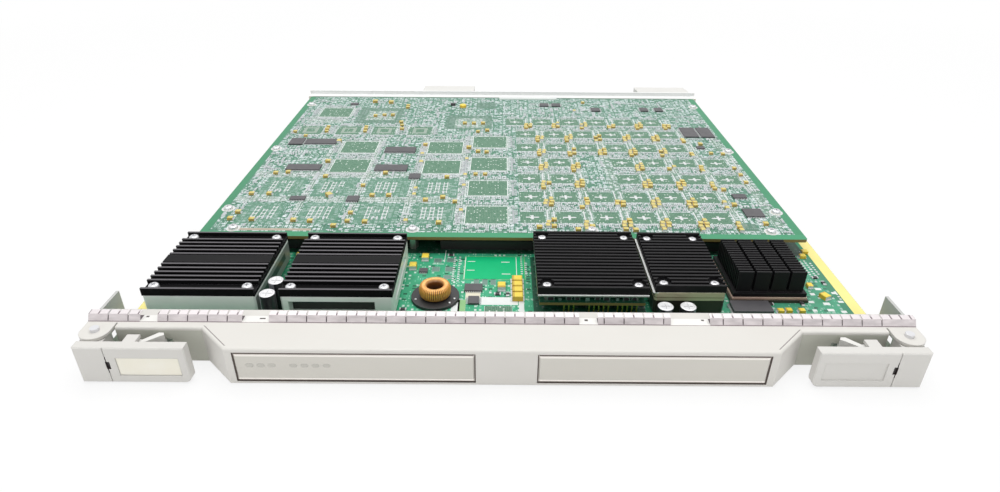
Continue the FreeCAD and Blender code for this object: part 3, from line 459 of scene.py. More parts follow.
def newFinish(name, look):
    made = bpy.data.materials.new(name)
    made.use_nodes = True
    tree = made.node_tree
    shader = tree.nodes["Principled BSDF"]
    surface = useGroup(tree, mottle, {
        "Colour": tint(*look["colour"]), "Shade": tint(*look["shade"]), "Stretch": look.get("stretch", plain),
        "Patch": look.get("patch", 60.0), "Grain": look.get("grain", 2500.0), "Gloss": look["gloss"],
        "Spread": look.get("spread", 0.15)})
    edge = useGroup(tree, softEdge, {"Radius": look.get("edge", 0.25) * mm})
    # the edges take a lighter tone, part wear and part painted highlight
    edgeWearAndHighlight = tint(*look.get("wearAndHighlight", look["colour"]))
    wire(tree, blendColours(tree, edge.outputs["WearAndHighlight"], surface.outputs["Colour"], edgeWearAndHighlight), shader.inputs["Base Color"])
    wire(tree, surface.outputs["Roughness"], shader.inputs["Roughness"])
    bump = put(tree, "Bump")
    bump.inputs["Strength"].default_value = look.get("bump", 0.1)
    bump.inputs["Distance"].default_value = 0.05 * mm
    wire(tree, surface.outputs["Height"], bump.inputs["Height"])
    wire(tree, edge.outputs["Normal"], bump.inputs["Normal"])
    wire(tree, bump.outputs[0], shader.inputs["Normal"])
    for label, key in (("Metallic", "metal"), ("Coat Weight", "coat"), ("Specular IOR Level", "shine")):
        if key in look:
            shader.inputs[label].default_value = look[key]
    return made


def overlay(made, factor, colour):
    # lays a colour over what the finish already gives, by a mask
    tree = made.node_tree
    target = tree.nodes["Principled BSDF"].inputs["Base Color"]
    under = target.links[0].from_socket
    wire(tree, blendColours(tree, factor, under, tint(*colour) if isinstance(colour, tuple) else colour), target)


def layOver(name, rows):
    # lays one tone after another over a finish, each within limits in mm and on the sides that face a way:
    # out is the distance from the middle plane, fold runs across the slanted folds, share thins the tone
    tree = finishes[name].node_tree
    x, y, z = splitCoords(tree, placeCoords(tree))
    out = maths(tree, "ABSOLUTE", x)
    measures = {"x": x, "y": y, "z": z, "out": out, "fold": maths(tree, "SUBTRACT", out, y)}
    for colour, limits in rows:
        masks = [between(tree, measures[key], *limits[key]) for key in limits if key in measures]
        masks += [faces(tree, way, limits[way]) for way in limits if way in sideTests]
        masks += [limits[key] for key in limits if key == "share"]
        overlay(finishes[name], times(tree, *masks), colour)


# each finish's lighter edge tone stands for wear and for a painted highlight; on the black fins it is only a painted
# highlight
looks = {
    "faceplatePaint": dict(colour=(213, 211, 206), shade=(207, 204, 198), gloss=0.5, patch=25, grain=1400, bump=0.12,
                           edge=0.5, wearAndHighlight=(226, 225, 221)),
    "leverPaint": dict(colour=(211, 209, 205), shade=(204, 202, 197), gloss=0.45, patch=35, grain=1600, bump=0.12,
                       edge=0.45, wearAndHighlight=(225, 224, 220)),
    "gasketSteel": dict(colour=(228, 222, 223), shade=(208, 200, 202), gloss=0.36, metal=0.2, patch=160, grain=900,
                        stretch=(0.3, 1, 1), edge=0.12, wearAndHighlight=(236, 232, 232)),
    "insertPlastic": dict(colour=(207, 204, 196), shade=(201, 198, 190), gloss=0.4, patch=20, grain=3000, bump=0.08,
                          edge=0.3, wearAndHighlight=(232, 230, 225)),
    "lightPipe": dict(colour=(192, 190, 182), shade=(184, 182, 174), gloss=0.3, patch=300, coat=0.2, edge=0.2),
    "whitePlastic": dict(colour=(226, 225, 221), shade=(216, 215, 211), gloss=0.4, edge=0.35),
    "labelPaper": dict(colour=(240, 238, 229), shade=(233, 228, 210), gloss=0.75, patch=90, grain=4000, bump=0.25),
    "screwSteel": dict(colour=(226, 226, 228), shade=(204, 204, 208), gloss=0.3, metal=0.5, patch=300, bump=0.05,
                       edge=0.2),
    "standoffMetal": dict(colour=(196, 196, 188), shade=(160, 160, 150), gloss=0.3, metal=0.9, patch=200, edge=0.2),
    "connectorPlastic": dict(colour=(218, 217, 213), shade=(208, 207, 203), gloss=0.45, patch=50, edge=0.3),
    "blackPlastic": dict(colour=(46, 46, 48), shade=(34, 34, 36), gloss=0.5, patch=90, grain=1800, bump=0.15,
                         wearAndHighlight=(84, 84, 86)),
    "socketPlastic": dict(colour=(25, 24, 24), shade=(18, 17, 18), gloss=0.55, patch=90, grain=1800, bump=0.15,
                          edge=0.2, wearAndHighlight=(44, 42, 42)),
    "barAluminium": dict(colour=(216, 217, 216), shade=(204, 206, 205), gloss=0.4, metal=0.35, patch=120,
                         stretch=(0.06, 1, 1), grain=1500, bump=0.08, wearAndHighlight=(234, 234, 234)),
    "casePaint": dict(colour=(238, 246, 240), shade=(228, 238, 231), gloss=0.35, metal=0.1, patch=70, grain=1800,
                      bump=0.06, edge=0.3, wearAndHighlight=(242, 246, 243)),
    "caseMetal": dict(colour=(206, 200, 168), shade=(184, 178, 146), gloss=0.32, metal=0.4, patch=90, bump=0.06,
                      wearAndHighlight=(228, 224, 206)),
    "lipMetal": dict(colour=(240, 241, 239), shade=(226, 228, 226), gloss=0.4, metal=0.1, patch=200, edge=0.1,
                     wearAndHighlight=(248, 248, 247)),
    "blackAnodised": dict(colour=(8, 7, 9), shade=(5, 5, 6), gloss=0.55, patch=120, stretch=(0.2, 1, 1), grain=1600,
                          bump=0.08, edge=0.2, wearAndHighlight=(96, 93, 98), shine=0.12),
    "blackFine": dict(colour=(16, 15, 17), shade=(11, 11, 12), gloss=0.55, patch=120, stretch=(0.2, 1, 1), grain=1600,
                      bump=0.08, edge=0.2, wearAndHighlight=(66, 63, 68), shine=0.2),
    "plateAluminium": dict(colour=(206, 206, 204), shade=(186, 186, 184), gloss=0.3, metal=0.85, patch=150,
                           stretch=(0.1, 1, 1), bump=0.08, edge=0.2),
    "goldPin": dict(colour=(214, 178, 92), shade=(190, 150, 70), gloss=0.28, metal=0.95, patch=400, edge=0.12),
    "packageLaminate": dict(colour=(58, 52, 44), shade=(44, 40, 34), gloss=0.45, patch=120, edge=0.2,
                            wearAndHighlight=(104, 92, 74)),
    "copperLid": dict(colour=(226, 194, 178), shade=(206, 172, 154), gloss=0.34, metal=0.3, patch=120,
                      wearAndHighlight=(240, 214, 200)),
    "copperWire": dict(colour=(250, 194, 104), shade=(222, 148, 56), gloss=0.22, metal=0.2, coat=0.6, patch=260,
                       edge=0.1),
    "windingCore": dict(colour=(122, 60, 22), shade=(92, 42, 16), gloss=0.5, patch=200, edge=0.1),
    "canAluminium": dict(colour=(230, 230, 231), shade=(218, 218, 220), gloss=0.35, metal=0.3, patch=200, bump=0.06,
                         edge=0.2),
    "canSleeve": dict(colour=(38, 38, 42), shade=(28, 28, 32), gloss=0.3, patch=150, coat=0.3, edge=0.2),
    "canStripe": dict(colour=(120, 122, 127), shade=(104, 106, 111), gloss=0.35, patch=150, edge=0.2),
    "chipPlastic": dict(colour=(82, 80, 83), shade=(68, 67, 70), gloss=0.5, patch=200, grain=3000, bump=0.2, edge=0.2,
                        wearAndHighlight=(134, 132, 136)),
    "tantalumCase": dict(colour=(240, 216, 82), shade=(232, 202, 66), gloss=0.4, patch=220, grain=2600, edge=0.2,
                         wearAndHighlight=(246, 232, 150)),
    "tantalumBand": dict(colour=(208, 176, 74), shade=(192, 158, 60), gloss=0.42, patch=220, edge=0.2),
    "tantalumGold": dict(colour=(214, 200, 122), shade=(198, 182, 98), gloss=0.4, patch=220, grain=2600, edge=0.2,
                         wearAndHighlight=(234, 224, 168)),
    "solderTin": dict(colour=(222, 224, 224), shade=(202, 205, 206), gloss=0.35, metal=0.3, patch=500, edge=0.08),
    "ceramicBody": dict(colour=(216, 220, 222), shade=(168, 176, 182), gloss=0.45, patch=500, edge=0.08),
    "silkWhite": dict(colour=(230, 233, 231), shade=(214, 220, 217), gloss=0.6, patch=300, edge=0.05),
    "silkCream": dict(colour=(228, 224, 204), shade=(206, 200, 176), gloss=0.6, patch=260, edge=0.05),
    "bareMask": dict(colour=(18, 188, 124), shade=(14, 172, 110), gloss=0.45, patch=80, shine=0.2, edge=0.05),
    "tinnedLand": dict(colour=(122, 150, 140), shade=(98, 132, 120), gloss=0.4, metal=0.3, patch=260, edge=0.05),
    "paleMask": dict(colour=(140, 190, 128), shade=(126, 176, 116), gloss=0.4, patch=160, edge=0.05),
    "bareEdge": dict(colour=(243, 232, 148), shade=(234, 219, 130), gloss=0.45, edge=0.05),
    "viaMask": dict(colour=(84, 126, 102), shade=(70, 112, 88), gloss=0.5, patch=160, shine=0.3, edge=0.05),
    "ringGrey": dict(colour=(158, 172, 160), shade=(132, 150, 138), gloss=0.45, patch=500, shine=0.3, edge=0.05),
    "plainTape": dict(colour=(184, 172, 154), shade=(160, 148, 132), gloss=0.6, patch=400, stretch=(0.4, 2, 1),
                      edge=0.05),
    "ferrite": dict(colour=(46, 44, 46), shade=(34, 33, 35), gloss=0.55, patch=200, bump=0.2, edge=0.2,
                    wearAndHighlight=(74, 72, 74)),
}
finishes = {name: newFinish(name, look) for name, look in looks.items()}


# Both boards

def wavyLines(tree, way, scale, distortion):
    lines = put(tree, "TexWave", wave_type="BANDS", bands_direction=way)
    lines.inputs["Scale"].default_value = scale
    lines.inputs["Distortion"].default_value = distortion
    wire(tree, placeCoords(tree), lines.inputs["Vector"])
    return lines.outputs["Fac"]


def boardLaminate(name, look):
    # solder mask with traces, a crowded pale zone with rows of lands in it, glass laminate at the cut edges
    made = newFinish(name, look)
    tree = made.node_tree
    x, y, _ = splitCoords(tree, placeCoords(tree))
    traces = maths(tree, "GREATER_THAN", wavyLines(tree, "DIAGONAL", 420, 3.0), 0.8)
    overlay(made, times(tree, traces, look["traceShare"]), look["trace"])
    lowX, highX, lowY, highY = look["zone"]
    zone = times(tree, between(tree, x, lowX, highX), between(tree, y, lowY, highY), faces(tree, "up", 0.5))
    crowd = put(tree, "TexNoise")
    crowd.inputs["Scale"].default_value = 160
    crowd.inputs["Detail"].default_value = 3.0
    wire(tree, placeCoords(tree), crowd.inputs["Vector"])
    thick = times(tree, crowd.outputs["Fac"], 2 * look["crowdShare"])
    overlay(made, times(tree, maths(tree, "MINIMUM", thick, 1.0), zone), look["crowd"])
    for across, along, filled, width, length, dull, bright in look["pads"]:
        pads = useGroup(tree, padRows, {"Across": 1000 / across, "Along": 1000 / along, "Filled": filled,
                                        "Width": width, "Length": length})
        level = maths(tree, "DIVIDE", pads.outputs["Tone"], filled)
        overlay(made, times(tree, pads.outputs["Mask"], zone), blendColours(tree, level, tint(*dull), tint(*bright)))
    side = times(tree, faces(tree, "notUp", 0.5), faces(tree, "up", -0.5))
    overlay(made, side, look["cutEdge"])
    overlay(made, times(tree, side, wavyLines(tree, "Z", 900, 0.0), 0.5), look["copperLayer"])
    return made


# rows of lands: pitch across and along, share filled, width and length, dull and bright colour
mezzLook = dict(colour=(54, 118, 87), shade=(42, 100, 71), gloss=0.42, patch=30, grain=900, bump=0.05, edge=0.1,
                shine=0.3, trace=(100, 162, 126), traceShare=0.3, zone=(-179.5, 179, 97, 369),
                crowd=(112, 148, 140), crowdShare=0.28,
                pads=[(2.6, 3.4, 0.58, 0.75, 0.7, (80, 130, 108), (204, 213, 213)),
                      (1.3, 2.3, 0.4, 0.5, 0.6, (150, 176, 168), (214, 222, 222)),
                      (3.9, 1.7, 0.3, 0.55, 0.5, (206, 214, 222), (230, 233, 236)),
                      (2.1, 1.6, 0.2, 0.5, 0.5, (26, 70, 52), (42, 90, 68))],
                cutEdge=(112, 106, 62), copperLayer=(150, 112, 66))
mainLook = dict(mezzLook, colour=(26, 140, 96), shade=(18, 118, 80), zone=(-184, 184, 12, 370), crowd=(70, 184, 140),
                crowdShare=0.5,
                pads=[(2.6, 3.4, 0.34, 0.5, 0.5, (100, 176, 144), (214, 224, 219)),
                      (1.4, 2.2, 0.24, 0.45, 0.5, (86, 186, 146), (186, 222, 204)),
                      (4.3, 2.7, 0.16, 0.5, 0.6, (10, 84, 58), (20, 104, 72))])
finishes["mezzLaminate"] = boardLaminate("mezzLaminate", mezzLook)
finishes["mainLaminate"] = boardLaminate("mainLaminate", mainLook)


def boardAreas(name, areas):
    # parts of a board's face in another tone: X and Y limits, share and colour
    layOver(name, [(colour, dict(x=(x0, x1), y=(y0, y1), up=0.5, share=share))
                   for x0, x1, y0, y1, share, colour in areas])


# a grey ground strip along the front and a darker teal on the right; the other three are painted shade: under the
# mezzanine, under the open converter, and in the gap between the first two converters
boardAreas("mainLaminate", [(-200, 200, 0, 10, 1.0, (150, 160, 146)), (120, 188, 10, 91, 0.3, (96, 124, 118)),
                            (-186, 186, 92, 366, 0.85, (10, 26, 20)), (17, 77, 25, 88, 0.8, (12, 34, 26)),
                            (-127, -113, 20, 92, 0.55, (10, 44, 32))])
boardAreas("mezzLaminate", [(-185, 185, 90, 97, 0.6, (62, 158, 112)), (-185, -179.5, 97, 371, 0.6, (54, 138, 97)),
                            (179, 185, 97, 371, 0.4, (62, 158, 112))])

# calm green patches and crowded pale lanes on the mezzanine, as X and Y limits
mezzAreas = {
    "calm": [(-166, -138, 149, 178), (-130, -102, 148, 177), (-94, -65, 147, 177), (-58, -32, 148, 177),
             (-168, -142, 107, 137), (-130, -105, 107, 137), (-94, -67, 107, 137), (-57, -32, 107, 137)],
    "outer": [(-129, -90, 295, 337), (-49, -9, 281, 317)], "inner": [(-121, -95, 303, 328), (-41, -15, 285, 309)],
    "framed": [(-24, -6, 337, 355), (146, 159, 101, 111)],
    "lanes": [(-177, -30, 178, 189), (-177, -30, 138, 147), (-136, -131, 107, 262), (-101, -95, 107, 262),
              (-65, -59, 107, 262), (-31, -25, 107, 265), (-169, -137, 294, 312)],
    "calmTone": (0.62, (92, 136, 114)), "framedTone": (0.75, (82, 118, 100)), "innerTone": (0.25, (196, 202, 194)),
    "lanesTone": (0.12, (204, 203, 196)),
    "columnX": (27.6, 178), "columnY": (106, 286), "columnStep": 23.75, "columnWide": 7.4,
    "columnTone": (0.12, (208, 204, 196)),
}
for (x0, x1, y0, y1), (innerX0, innerX1, innerY0, innerY1) in zip(mezzAreas["outer"], mezzAreas["inner"]):
    mezzAreas["framed"] += [(x0, innerX0, y0, y1), (innerX1, x1, y0, y1), (innerX0, innerX1, y0, innerY0),
                            (innerX0, innerX1, innerY1, y1)]
for kind in ("calm", "framed", "inner", "lanes"):
    boardAreas("mezzLaminate", [(*limits, *mezzAreas[kind + "Tone"]) for limits in mezzAreas[kind]])


def columnLanes(made):
    # the pale lanes that run between the columns of small via fields
    tree = made.node_tree
    x, y, _ = splitCoords(tree, placeCoords(tree))
    step = mezzAreas["columnStep"]
    across = maths(tree, "FRACT", maths(tree, "MULTIPLY_ADD", x, 1 / (step * mm), -mezzAreas["columnX"][0] / step))
    lane = maths(tree, "LESS_THAN", across, mezzAreas["columnWide"] / step)
    share, colour = mezzAreas["columnTone"]
    overlay(made, times(tree, lane, between(tree, x, *mezzAreas["columnX"]), between(tree, y, *mezzAreas["columnY"]),
                        faces(tree, "up", 0.5), share), colour)


def viaDots(made):
    # tiny tinned vias: pitch, share filled, share and colour
    tree = made.node_tree
    for pitch, filled, share, colour in ((2.1, 0.4, 0.5, (70, 110, 88)), (1.0, 0.8, 0.6, (166, 186, 170)),
                                         (1.9, 0.16, 1.0, (226, 234, 228))):
        dots = useGroup(tree, padRows, {"Across": 1000 / pitch, "Along": 1000 / pitch, "Filled": filled,
                                        "Width": 0.4, "Length": 0.4})
        overlay(made, times(tree, dots.outputs["Mask"], share), colour)


columnLanes(finishes["mezzLaminate"])
viaDots(finishes["viaMask"])


# Tones of single places on the CAD nodes

def contactHoles(made):
    # rows of contact openings in the mating face
    tree = made.node_tree
    x, _, z = splitCoords(tree, placeCoords(tree))
    pitch, half = 2.0, 0.22
    holes = [midCell(tree, maths(tree, "MULTIPLY_ADD", axis, 1000 / pitch, start), half)
             for axis, start in ((x, 0.0), (z, 0.6))]
    overlay(made, times(tree, faces(tree, "behind", 0.9), *holes, between(tree, z, 6.0, 17.6)), (38, 38, 36))


gasket = {"pitch": 4.765, "firstTick": 189.22, "tickHalf": 0.075, "foot": (-far, 20.68), "floor": (-far, 20.85),
          "bare": [(-174.0, 8.5), (-125.0, 13.0), (37.0, 9.0), (81.0, 19.0)],
          "marks": [(-171.8, 2.4, 1.5, 1.2), (-115.8, 1.4, 2.8, 1.0), (40.7, 1.8, 1.6, 1.5), (97.2, 2.4, 1.4, 1.2)]}


def gasketFingers(made):
    # brushed fronts, painted darker than the tops as shade, and ticks between the fingers
    tree = made.node_tree
    x = splitCoords(tree, placeCoords(tree))[0]
    brushed = useGroup(tree, mottle, {"Colour": tint(219, 211, 212), "Shade": tint(148, 141, 143), "Patch": 420.0,
                                      "Stretch": (0.35, 1, 1)})
    overlay(made, faces(tree, "ahead", -0.4), brushed.outputs["Colour"])
    pitch = gasket["pitch"]
    along = maths(tree, "MULTIPLY_ADD", x, 1 / (pitch * mm), gasket["firstTick"] / pitch + 0.5)
    overlay(made, times(tree, midCell(tree, along, gasket["tickHalf"]), faces(tree, "up", 0.6)), (118, 106, 110))


def hollowShade(made, middle, reach, soft):
    # painted shade in the hole of the wound ring
    tree = made.node_tree
    near = maths(tree, "SUBTRACT", reach * mm, awayFrom(tree, middle.x, middle.y))
    near = maths(tree, "MAXIMUM", maths(tree, "DIVIDE", near, soft * mm), 0.0)
    overlay(made, maths(tree, "MINIMUM", near, 0.9), (92, 44, 20))


contactHoles(finishes["connectorPlastic"])
gasketFingers(finishes["gasketSteel"])
hollowShade(finishes["copperWire"], sum(boxOf("choke_winding"), Vector()) / 2, 5.5, 1.4)

# painted shade on the floor between the fingers, painted sheet where the strip has none, a dark mark in each stretch, a
# painted shadow line at its foot
layOver("gasketSteel", [((92, 82, 86), dict(z=gasket["floor"], up=0.5))])
layOver("gasketSteel", [(looks["faceplatePaint"]["wearAndHighlight"], dict(x=(start, start + wide), z=gasket["floor"], up=0.5))
                        for start, wide in gasket["bare"]])
layOver("gasketSteel", [((74, 66, 64), dict(x=(x - wide / 2, x + wide / 2), y=(y - deep / 2, y + deep / 2),
                                            z=gasket["floor"], up=0.5)) for x, y, wide, deep in gasket["marks"]])
layOver("gasketSteel", [((150, 134, 138), dict(z=gasket["foot"]))])

# the seam beside each slanted fold; painted shade in the gap round each insert, on the wall behind the levers and on
# the inner faces of the end flanges
layOver("faceplatePaint", [((138, 133, 130), dict(fold=(145.9, 146.6), y=(-19.4, -4.2), up=0.5)),
                           ((108, 98, 92), dict(x=(-126, 126), z=(1.2, 19.2), y=(-21.9, -21.0))),
                           ((190, 191, 180), dict(y=(-9.0, 0.0), z=(0.0, 18.8), ahead=-0.9)),
                           ((186, 187, 184), dict(out=(190, far), y=(4, far)))])
# the rim of an insert catches the light, and its back edge lies in the shade of the gap
layOver("insertPlastic", [((244, 239, 232), dict(z=(2.0, 3.9))), ((244, 239, 232), dict(z=(16.5, 18.0))),
                          ((112, 100, 94), dict(y=(-21.7, far), up=0.4)),
                          ((112, 100, 94), dict(y=(-21.7, far), notUp=-0.4))])
# the bright top rim of a case, its front window, the slot along its side, and painted shade on the side of the first
# case that faces the gap
layOver("casePaint", [((232, 236, 232), dict(z=(18.9, far))),
                      ((40, 46, 42), dict(y=(23.0, 30.0), ahead=-0.9)),
                      ((38, 44, 42), dict(z=(11.4, 15.4), y=(31.2, 73.8), right=0.9)),
                      ((52, 66, 60), dict(x=(-130, -125), z=(-far, 18.2), right=0.9, share=0.75))])
# the lower part of the narrow case is bare potting, its left rim is bright
layOver("caseMetal", [((60, 54, 46), dict(z=(-far, 14.6))), ((120, 112, 86), dict(z=(16.2, 16.6))),
                      ((240, 240, 234), dict(z=(17.6, far), left=-0.9)),
                      ((240, 240, 234), dict(x=(-far, 81.4), z=(18.9, far)))])
# painted shade on the front of the open converter's plate, above its lower edge, which keeps the bright aluminium
layOver("plateAluminium", [((46, 44, 48), dict(z=(18.5, far), ahead=-0.9))])
# painted highlight on the tops of the tall fins; the flat land between them keeps the dull finish
layOver("blackAnodised", [((98, 96, 99), dict(y=limits, z=(23.9, far), up=0.5))
                          for limits in ((-far, 48.6), (56.4, far))])
# painted highlight: the up-facing ledge of the rear bar is lighter than its wall
layOver("barAluminium", [((242, 243, 242), dict(up=0.5))])
# painted shade on the inside of the lever's slot and on what stands behind it
for name in ("whitePlastic", "leverPaint"):
    layOver(name, [((50, 36, 36), dict(out=(178, 186), y=(-21.9, -12.0), z=(6.0, 15.0)))])
# the sides of a capacitor are darker than its top: partly a darker moulding, partly painted shade
layOver("tantalumCase", [((222, 184, 58), dict(notUp=0.3))])
layOver("tantalumGold", [((172, 148, 84), dict(notUp=0.3))])

nodeFinishes = {
    "faceplatePaint": ["faceplate"], "gasketSteel": ["emi_gasket"], "lightPipe": ["light_pipe_array"],
    "insertPlastic": ["status_panel_insert", "blank_panel_insert"],
    "whitePlastic": ["status_led_blocks", "left_lever_latch", "right_lever_latch"],
    "mainLaminate": ["main_board", "converter_3_board"], "mezzLaminate": ["mezzanine_board"],
    "standoffMetal": ["mezzanine_standoffs", "converter_3_posts"],
    "screwSteel": ["mezzanine_screws", "board_screws", "stiffener_screws", "left_latch_pin", "right_latch_pin",
                   "left_lever_pivot", "right_lever_pivot"],
    "socketPlastic": ["mezzanine_receptacles", "mezzanine_plugs"], "barAluminium": ["rear_stiffener"],
    "connectorPlastic": ["backplane_connector_left", "backplane_connector_right"],
    "casePaint": ["converter_1_case", "converter_2_case"], "caseMetal": ["converter_4_case"],
    "blackAnodised": ["converter_1_heatsink", "converter_2_heatsink"],
    "blackFine": ["converter_3_heatsink", "converter_4_heatsink", "pin_fin_heatsink"],
    "plateAluminium": ["converter_3_baseplate"], "goldPin": ["converter_3_pins"],
    "packageLaminate": ["processor_package"], "copperLid": ["processor_lid"], "blackPlastic": ["choke_base"],
    "copperWire": ["choke_winding"], "canAluminium": ["electrolytic_capacitors"],
    "chipPlastic": ["main_chips", "mezzanine_memory_chips", "mezzanine_logic_chips", "signal_processor_chips",
                    "controller_chips"],
    "leverPaint": ["left_ejector_lever", "right_ejector_lever"], "labelPaper": ["lever_label"],
}
finished = [(node, name) for name, group in nodeFinishes.items() for node in group]
for node, name in finished:
    nodes[node].data.materials.clear()
    nodes[node].data.materials.append(finishes[name])
print("finishes made and put on", len(finished), "nodes")


# Via fields on the mezzanine, over the chips on its underside

viaFields = {
    "lift": 0.04, "frame": 0.02,
    "gridSize": (15.6, 15), "firstX": 19.3, "firstY": 118, "stepX": 23.75, "stepY": 30.35, "columns": 6, "rows": 7,
    "lastRowShift": -8.5, "missing": [(2, 2), (2, 3)], "outside": [(6, 2), (6, 3)],
    "bigSize": (28, 25),
    "big": [(-113, 238), (-113, 200), (-45, 238), (-45, 199), (-10, 251), (-10, 205), (-10, 162), (-10, 121),
            (-150, 323)],
    "smallSize": (19, 19.5), "small": [(-161.5, 276.3), (-129.5, 276.3), (-99.5, 276.3), (-69.5, 276.3)],
    "ring": (12.0, 13.0, 0.05), "ringWide": 2.6,
    "markCore": 0.75, "markReach": (5.6, 1.2), "markTip": 1.0, "markStretch": (0.6, 1.8, 1), "mark": 0.05,
    "rail": (0.8, 12.0, 0.06), "railRim": 0.1, "railPlaces": [(9.7, 3.0), (14.1, 3.0)],
}


def gridFields():
    cells = [(column, row) for row in range(viaFields["rows"]) for column in range(viaFields["columns"])]
    spots = []
    for column, row in cells + viaFields["outside"]:
        shift = viaFields["lastRowShift"] if row == viaFields["rows"] - 1 else 0
        if (column, row) not in viaFields["missing"]:
            spots.append((viaFields["firstX"] + shift + column * viaFields["stepX"],
                          viaFields["firstY"] + row * viaFields["stepY"]))
    return spots


gridSpots = gridFields()
plainFields = ([(*spot, *viaFields["gridSize"]) for spot in gridSpots]
               + [(*spot, *viaFields["smallSize"]) for spot in viaFields["small"]])
framedFields = [(*spot, *viaFields["bigSize"]) for spot in viaFields["big"]]
fieldSizes = plainFields + framedFields

for name, sizes, frameFinish in (("viaFields", plainFields, "viaMask"), ("framedViaFields", framedFields, "silkWhite")):
    field = land(name + "Master", (1, 1, viaFields["lift"]), viaFields["frame"], "viaMask", frameFinish)
    spread(name, field, [at(x, y, mezzTop, 0, (w, d, 1)) for x, y, w, d in sizes], "mezzanine_laminate")

mark = plusBlock("markMaster", viaFields["markCore"], *viaFields["markReach"], viaFields["mark"])
growFaces(mark, ends(0), viaFields["markTip"])
paintFaces(mark, ["solderTin"])
markLevel = mezzTop + viaFields["lift"] + viaFields["mark"] / 2
spread("decouplingLands", mark, [at(x, y, markLevel, 0, viaFields["markStretch"]) for x, y in gridSpots],
       "mezzanine_laminate")
ring = newBlock("fieldRingMaster", viaFields["ring"], (0, 0, viaFields["lift"]))
insetFaces(ring, facing(z=1), viaFields["ringWide"])
paintFaces(ring, ["ringGrey", "viaMask"],
           lambda face: int(face.normal.z > 0.9 and max(abs(v) for v in face.center[:2]) < 0.1 * mm))
spread("smallFieldRings", ring, [at(x, y, mezzTop) for x, y in viaFields["small"]], "mezzanine_laminate")
spread("columnRails", land("railMaster", viaFields["rail"], viaFields["railRim"]),
       [at(x + acrossX, y + alongY, mezzTop) for x, y in gridSpots for acrossX, alongY in viaFields["railPlaces"]],
       "mezzanine_laminate")
print("via fields laid:", len(fieldSizes))


# Tantalum capacitors on both boards, as X, Y, turn and size

tantalums = {
    "body": (2.8, 3.5, 1.9), "chamfer": 0.25, "terminal": 0.45, "terminalTall": 0.35, "band": 0.8,
    "main": [(-46.2, 85.2, 0, 1.5), (-52.5, 75, 0, 1.5), (-0.2, 53.4, 180, 1.6), (8.6, 60.4, 90, 1.7),
             (8.6, 54.6, 90, 1.7), (8.6, 48.8, 90, 1.7), (8.6, 43, 90, 1.7), (178.4, 46, 25, 1.4), (174.4, 57, 0, 1.1),
             (-121.4, 75, 0, 1.2), (-123, 88, 90, 1.0), (149, 32.2, 90, 1.0), (153.5, 32.6, 90, 1.0),
             (160.4, 32.4, 90, 1.0), (183, 90, 90, 1.1), (186.4, 95.4, 90, 1.1)],
    "mezzanine": [(-119.6, 353, 90, 1.3), (-104.4, 351, 90, 1.3), (-112.8, 312.4, 90, 1), (-105.1, 314.5, 90, 1),
                  (-97.7, 314.8, 90, 1), (-87.3, 342, 90, 1), (-87, 336.6, 90, 1), (-87.7, 296, 90, 1),
                  (-86, 288, 90, 0.9), (-84.8, 278.5, 90, 1), (-148, 283, 90, 0.9), (-147.7, 277, 90, 1),
                  (-147, 271.6, 90, 0.9), (-115.8, 283.4, 90, 0.9), (-115.4, 278, 90, 1), (-115, 272.4, 90, 0.9),
                  (-173, 270.5, 90, 0.9), (-161.8, 261, 90, 0.9), (-131.7, 248.3, 0, 1.2), (-131, 206.6, 90, 1.1),
                  (-61.4, 242.3, 90, 1), (-62, 222.8, 0, 0.9), (-61, 206.2, 0, 1), (-163.7, 184.1, 90, 1),
                  (-155.2, 185.8, 90, 1), (-126.5, 178.8, 90, 1), (-84.6, 185.5, 90, 1), (-39.6, 178.9, 90, 1),
                  (-169.7, 148.9, 90, 1), (-157.9, 149.1, 90, 1), (-116.9, 147.1, 40, 1.3), (-87.9, 147.6, 90, 1),
                  (-76.7, 147.8, 90, 1), (-51.2, 141, 90, 1), (-40, 145.4, 90, 1), (-171.3, 112.2, 90, 1),
                  (-169.4, 121.4, 90, 1), (-157.4, 111.2, 90, 1), (-131.1, 110.5, 90, 1), (-120.4, 109.5, 90, 1),
                  (-104.4, 103.4, 90, 1), (-97.1, 109.9, 90, 0.9), (-86, 109, 90, 1), (-60.7, 110.5, 0, 0.9),
                  (-39.7, 108.5, 90, 1), (-97.3, 121.4, 90, 0.9), (-96.9, 163.6, 90, 0.9), (-59.9, 158.8, 0, 0.9),
                  (-59.8, 149, 0, 0.9), (-32.5, 294.3, 90, 1), (-24.6, 294.4, 90, 1), (-16.7, 294.6, 90, 1),
                  (-12.7, 276.7, 90, 1), (-20.4, 273.7, 90, 0.9), (-26.4, 236.8, 90, 1.1), (-18.9, 228.7, 90, 1),
                  (-12.2, 227.5, 90, 1), (-19.3, 184.4, 90, 0.9), (-12.4, 184.5, 90, 0.9), (-26.8, 182.8, 0, 0.9),
                  (-26.8, 164, 0, 0.9), (-27, 212.6, 0, 0.9), (-31.5, 138.7, 90, 0.9), (-26.8, 125.3, 0, 0.9),
                  (23.1, 103.4, 90, 1), (46.8, 100.4, 90, 1), (82.1, 100.4, 90, 1), (65.7, 329.6, 0, 0.9),
                  (75.9, 354.4, 90, 0.9), (147.2, 254.9, 90, 0.9), (159.5, 247.7, 90, 1), (162.9, 228, 90, 0.9),
                  (171.7, 226.8, 90, 0.9), (172.1, 198.5, 90, 0.9), (153.1, 160.2, 90, 1), (153.5, 136.7, 90, 1),
                  (165.1, 109.8, 90, 1), (173, 186.3, 90, 0.9), (172.8, 173.1, 90, 0.9)],
    "besideField": [(9.2, -12.6), (9.4, -16.8), (13.7, -9.0), (13.5, -4.6), (13.0, -13.2), (10.0, -8.4)],
    "besideShare": 0.88, "besideSize": 0.96, "besideEnd": 150,
}


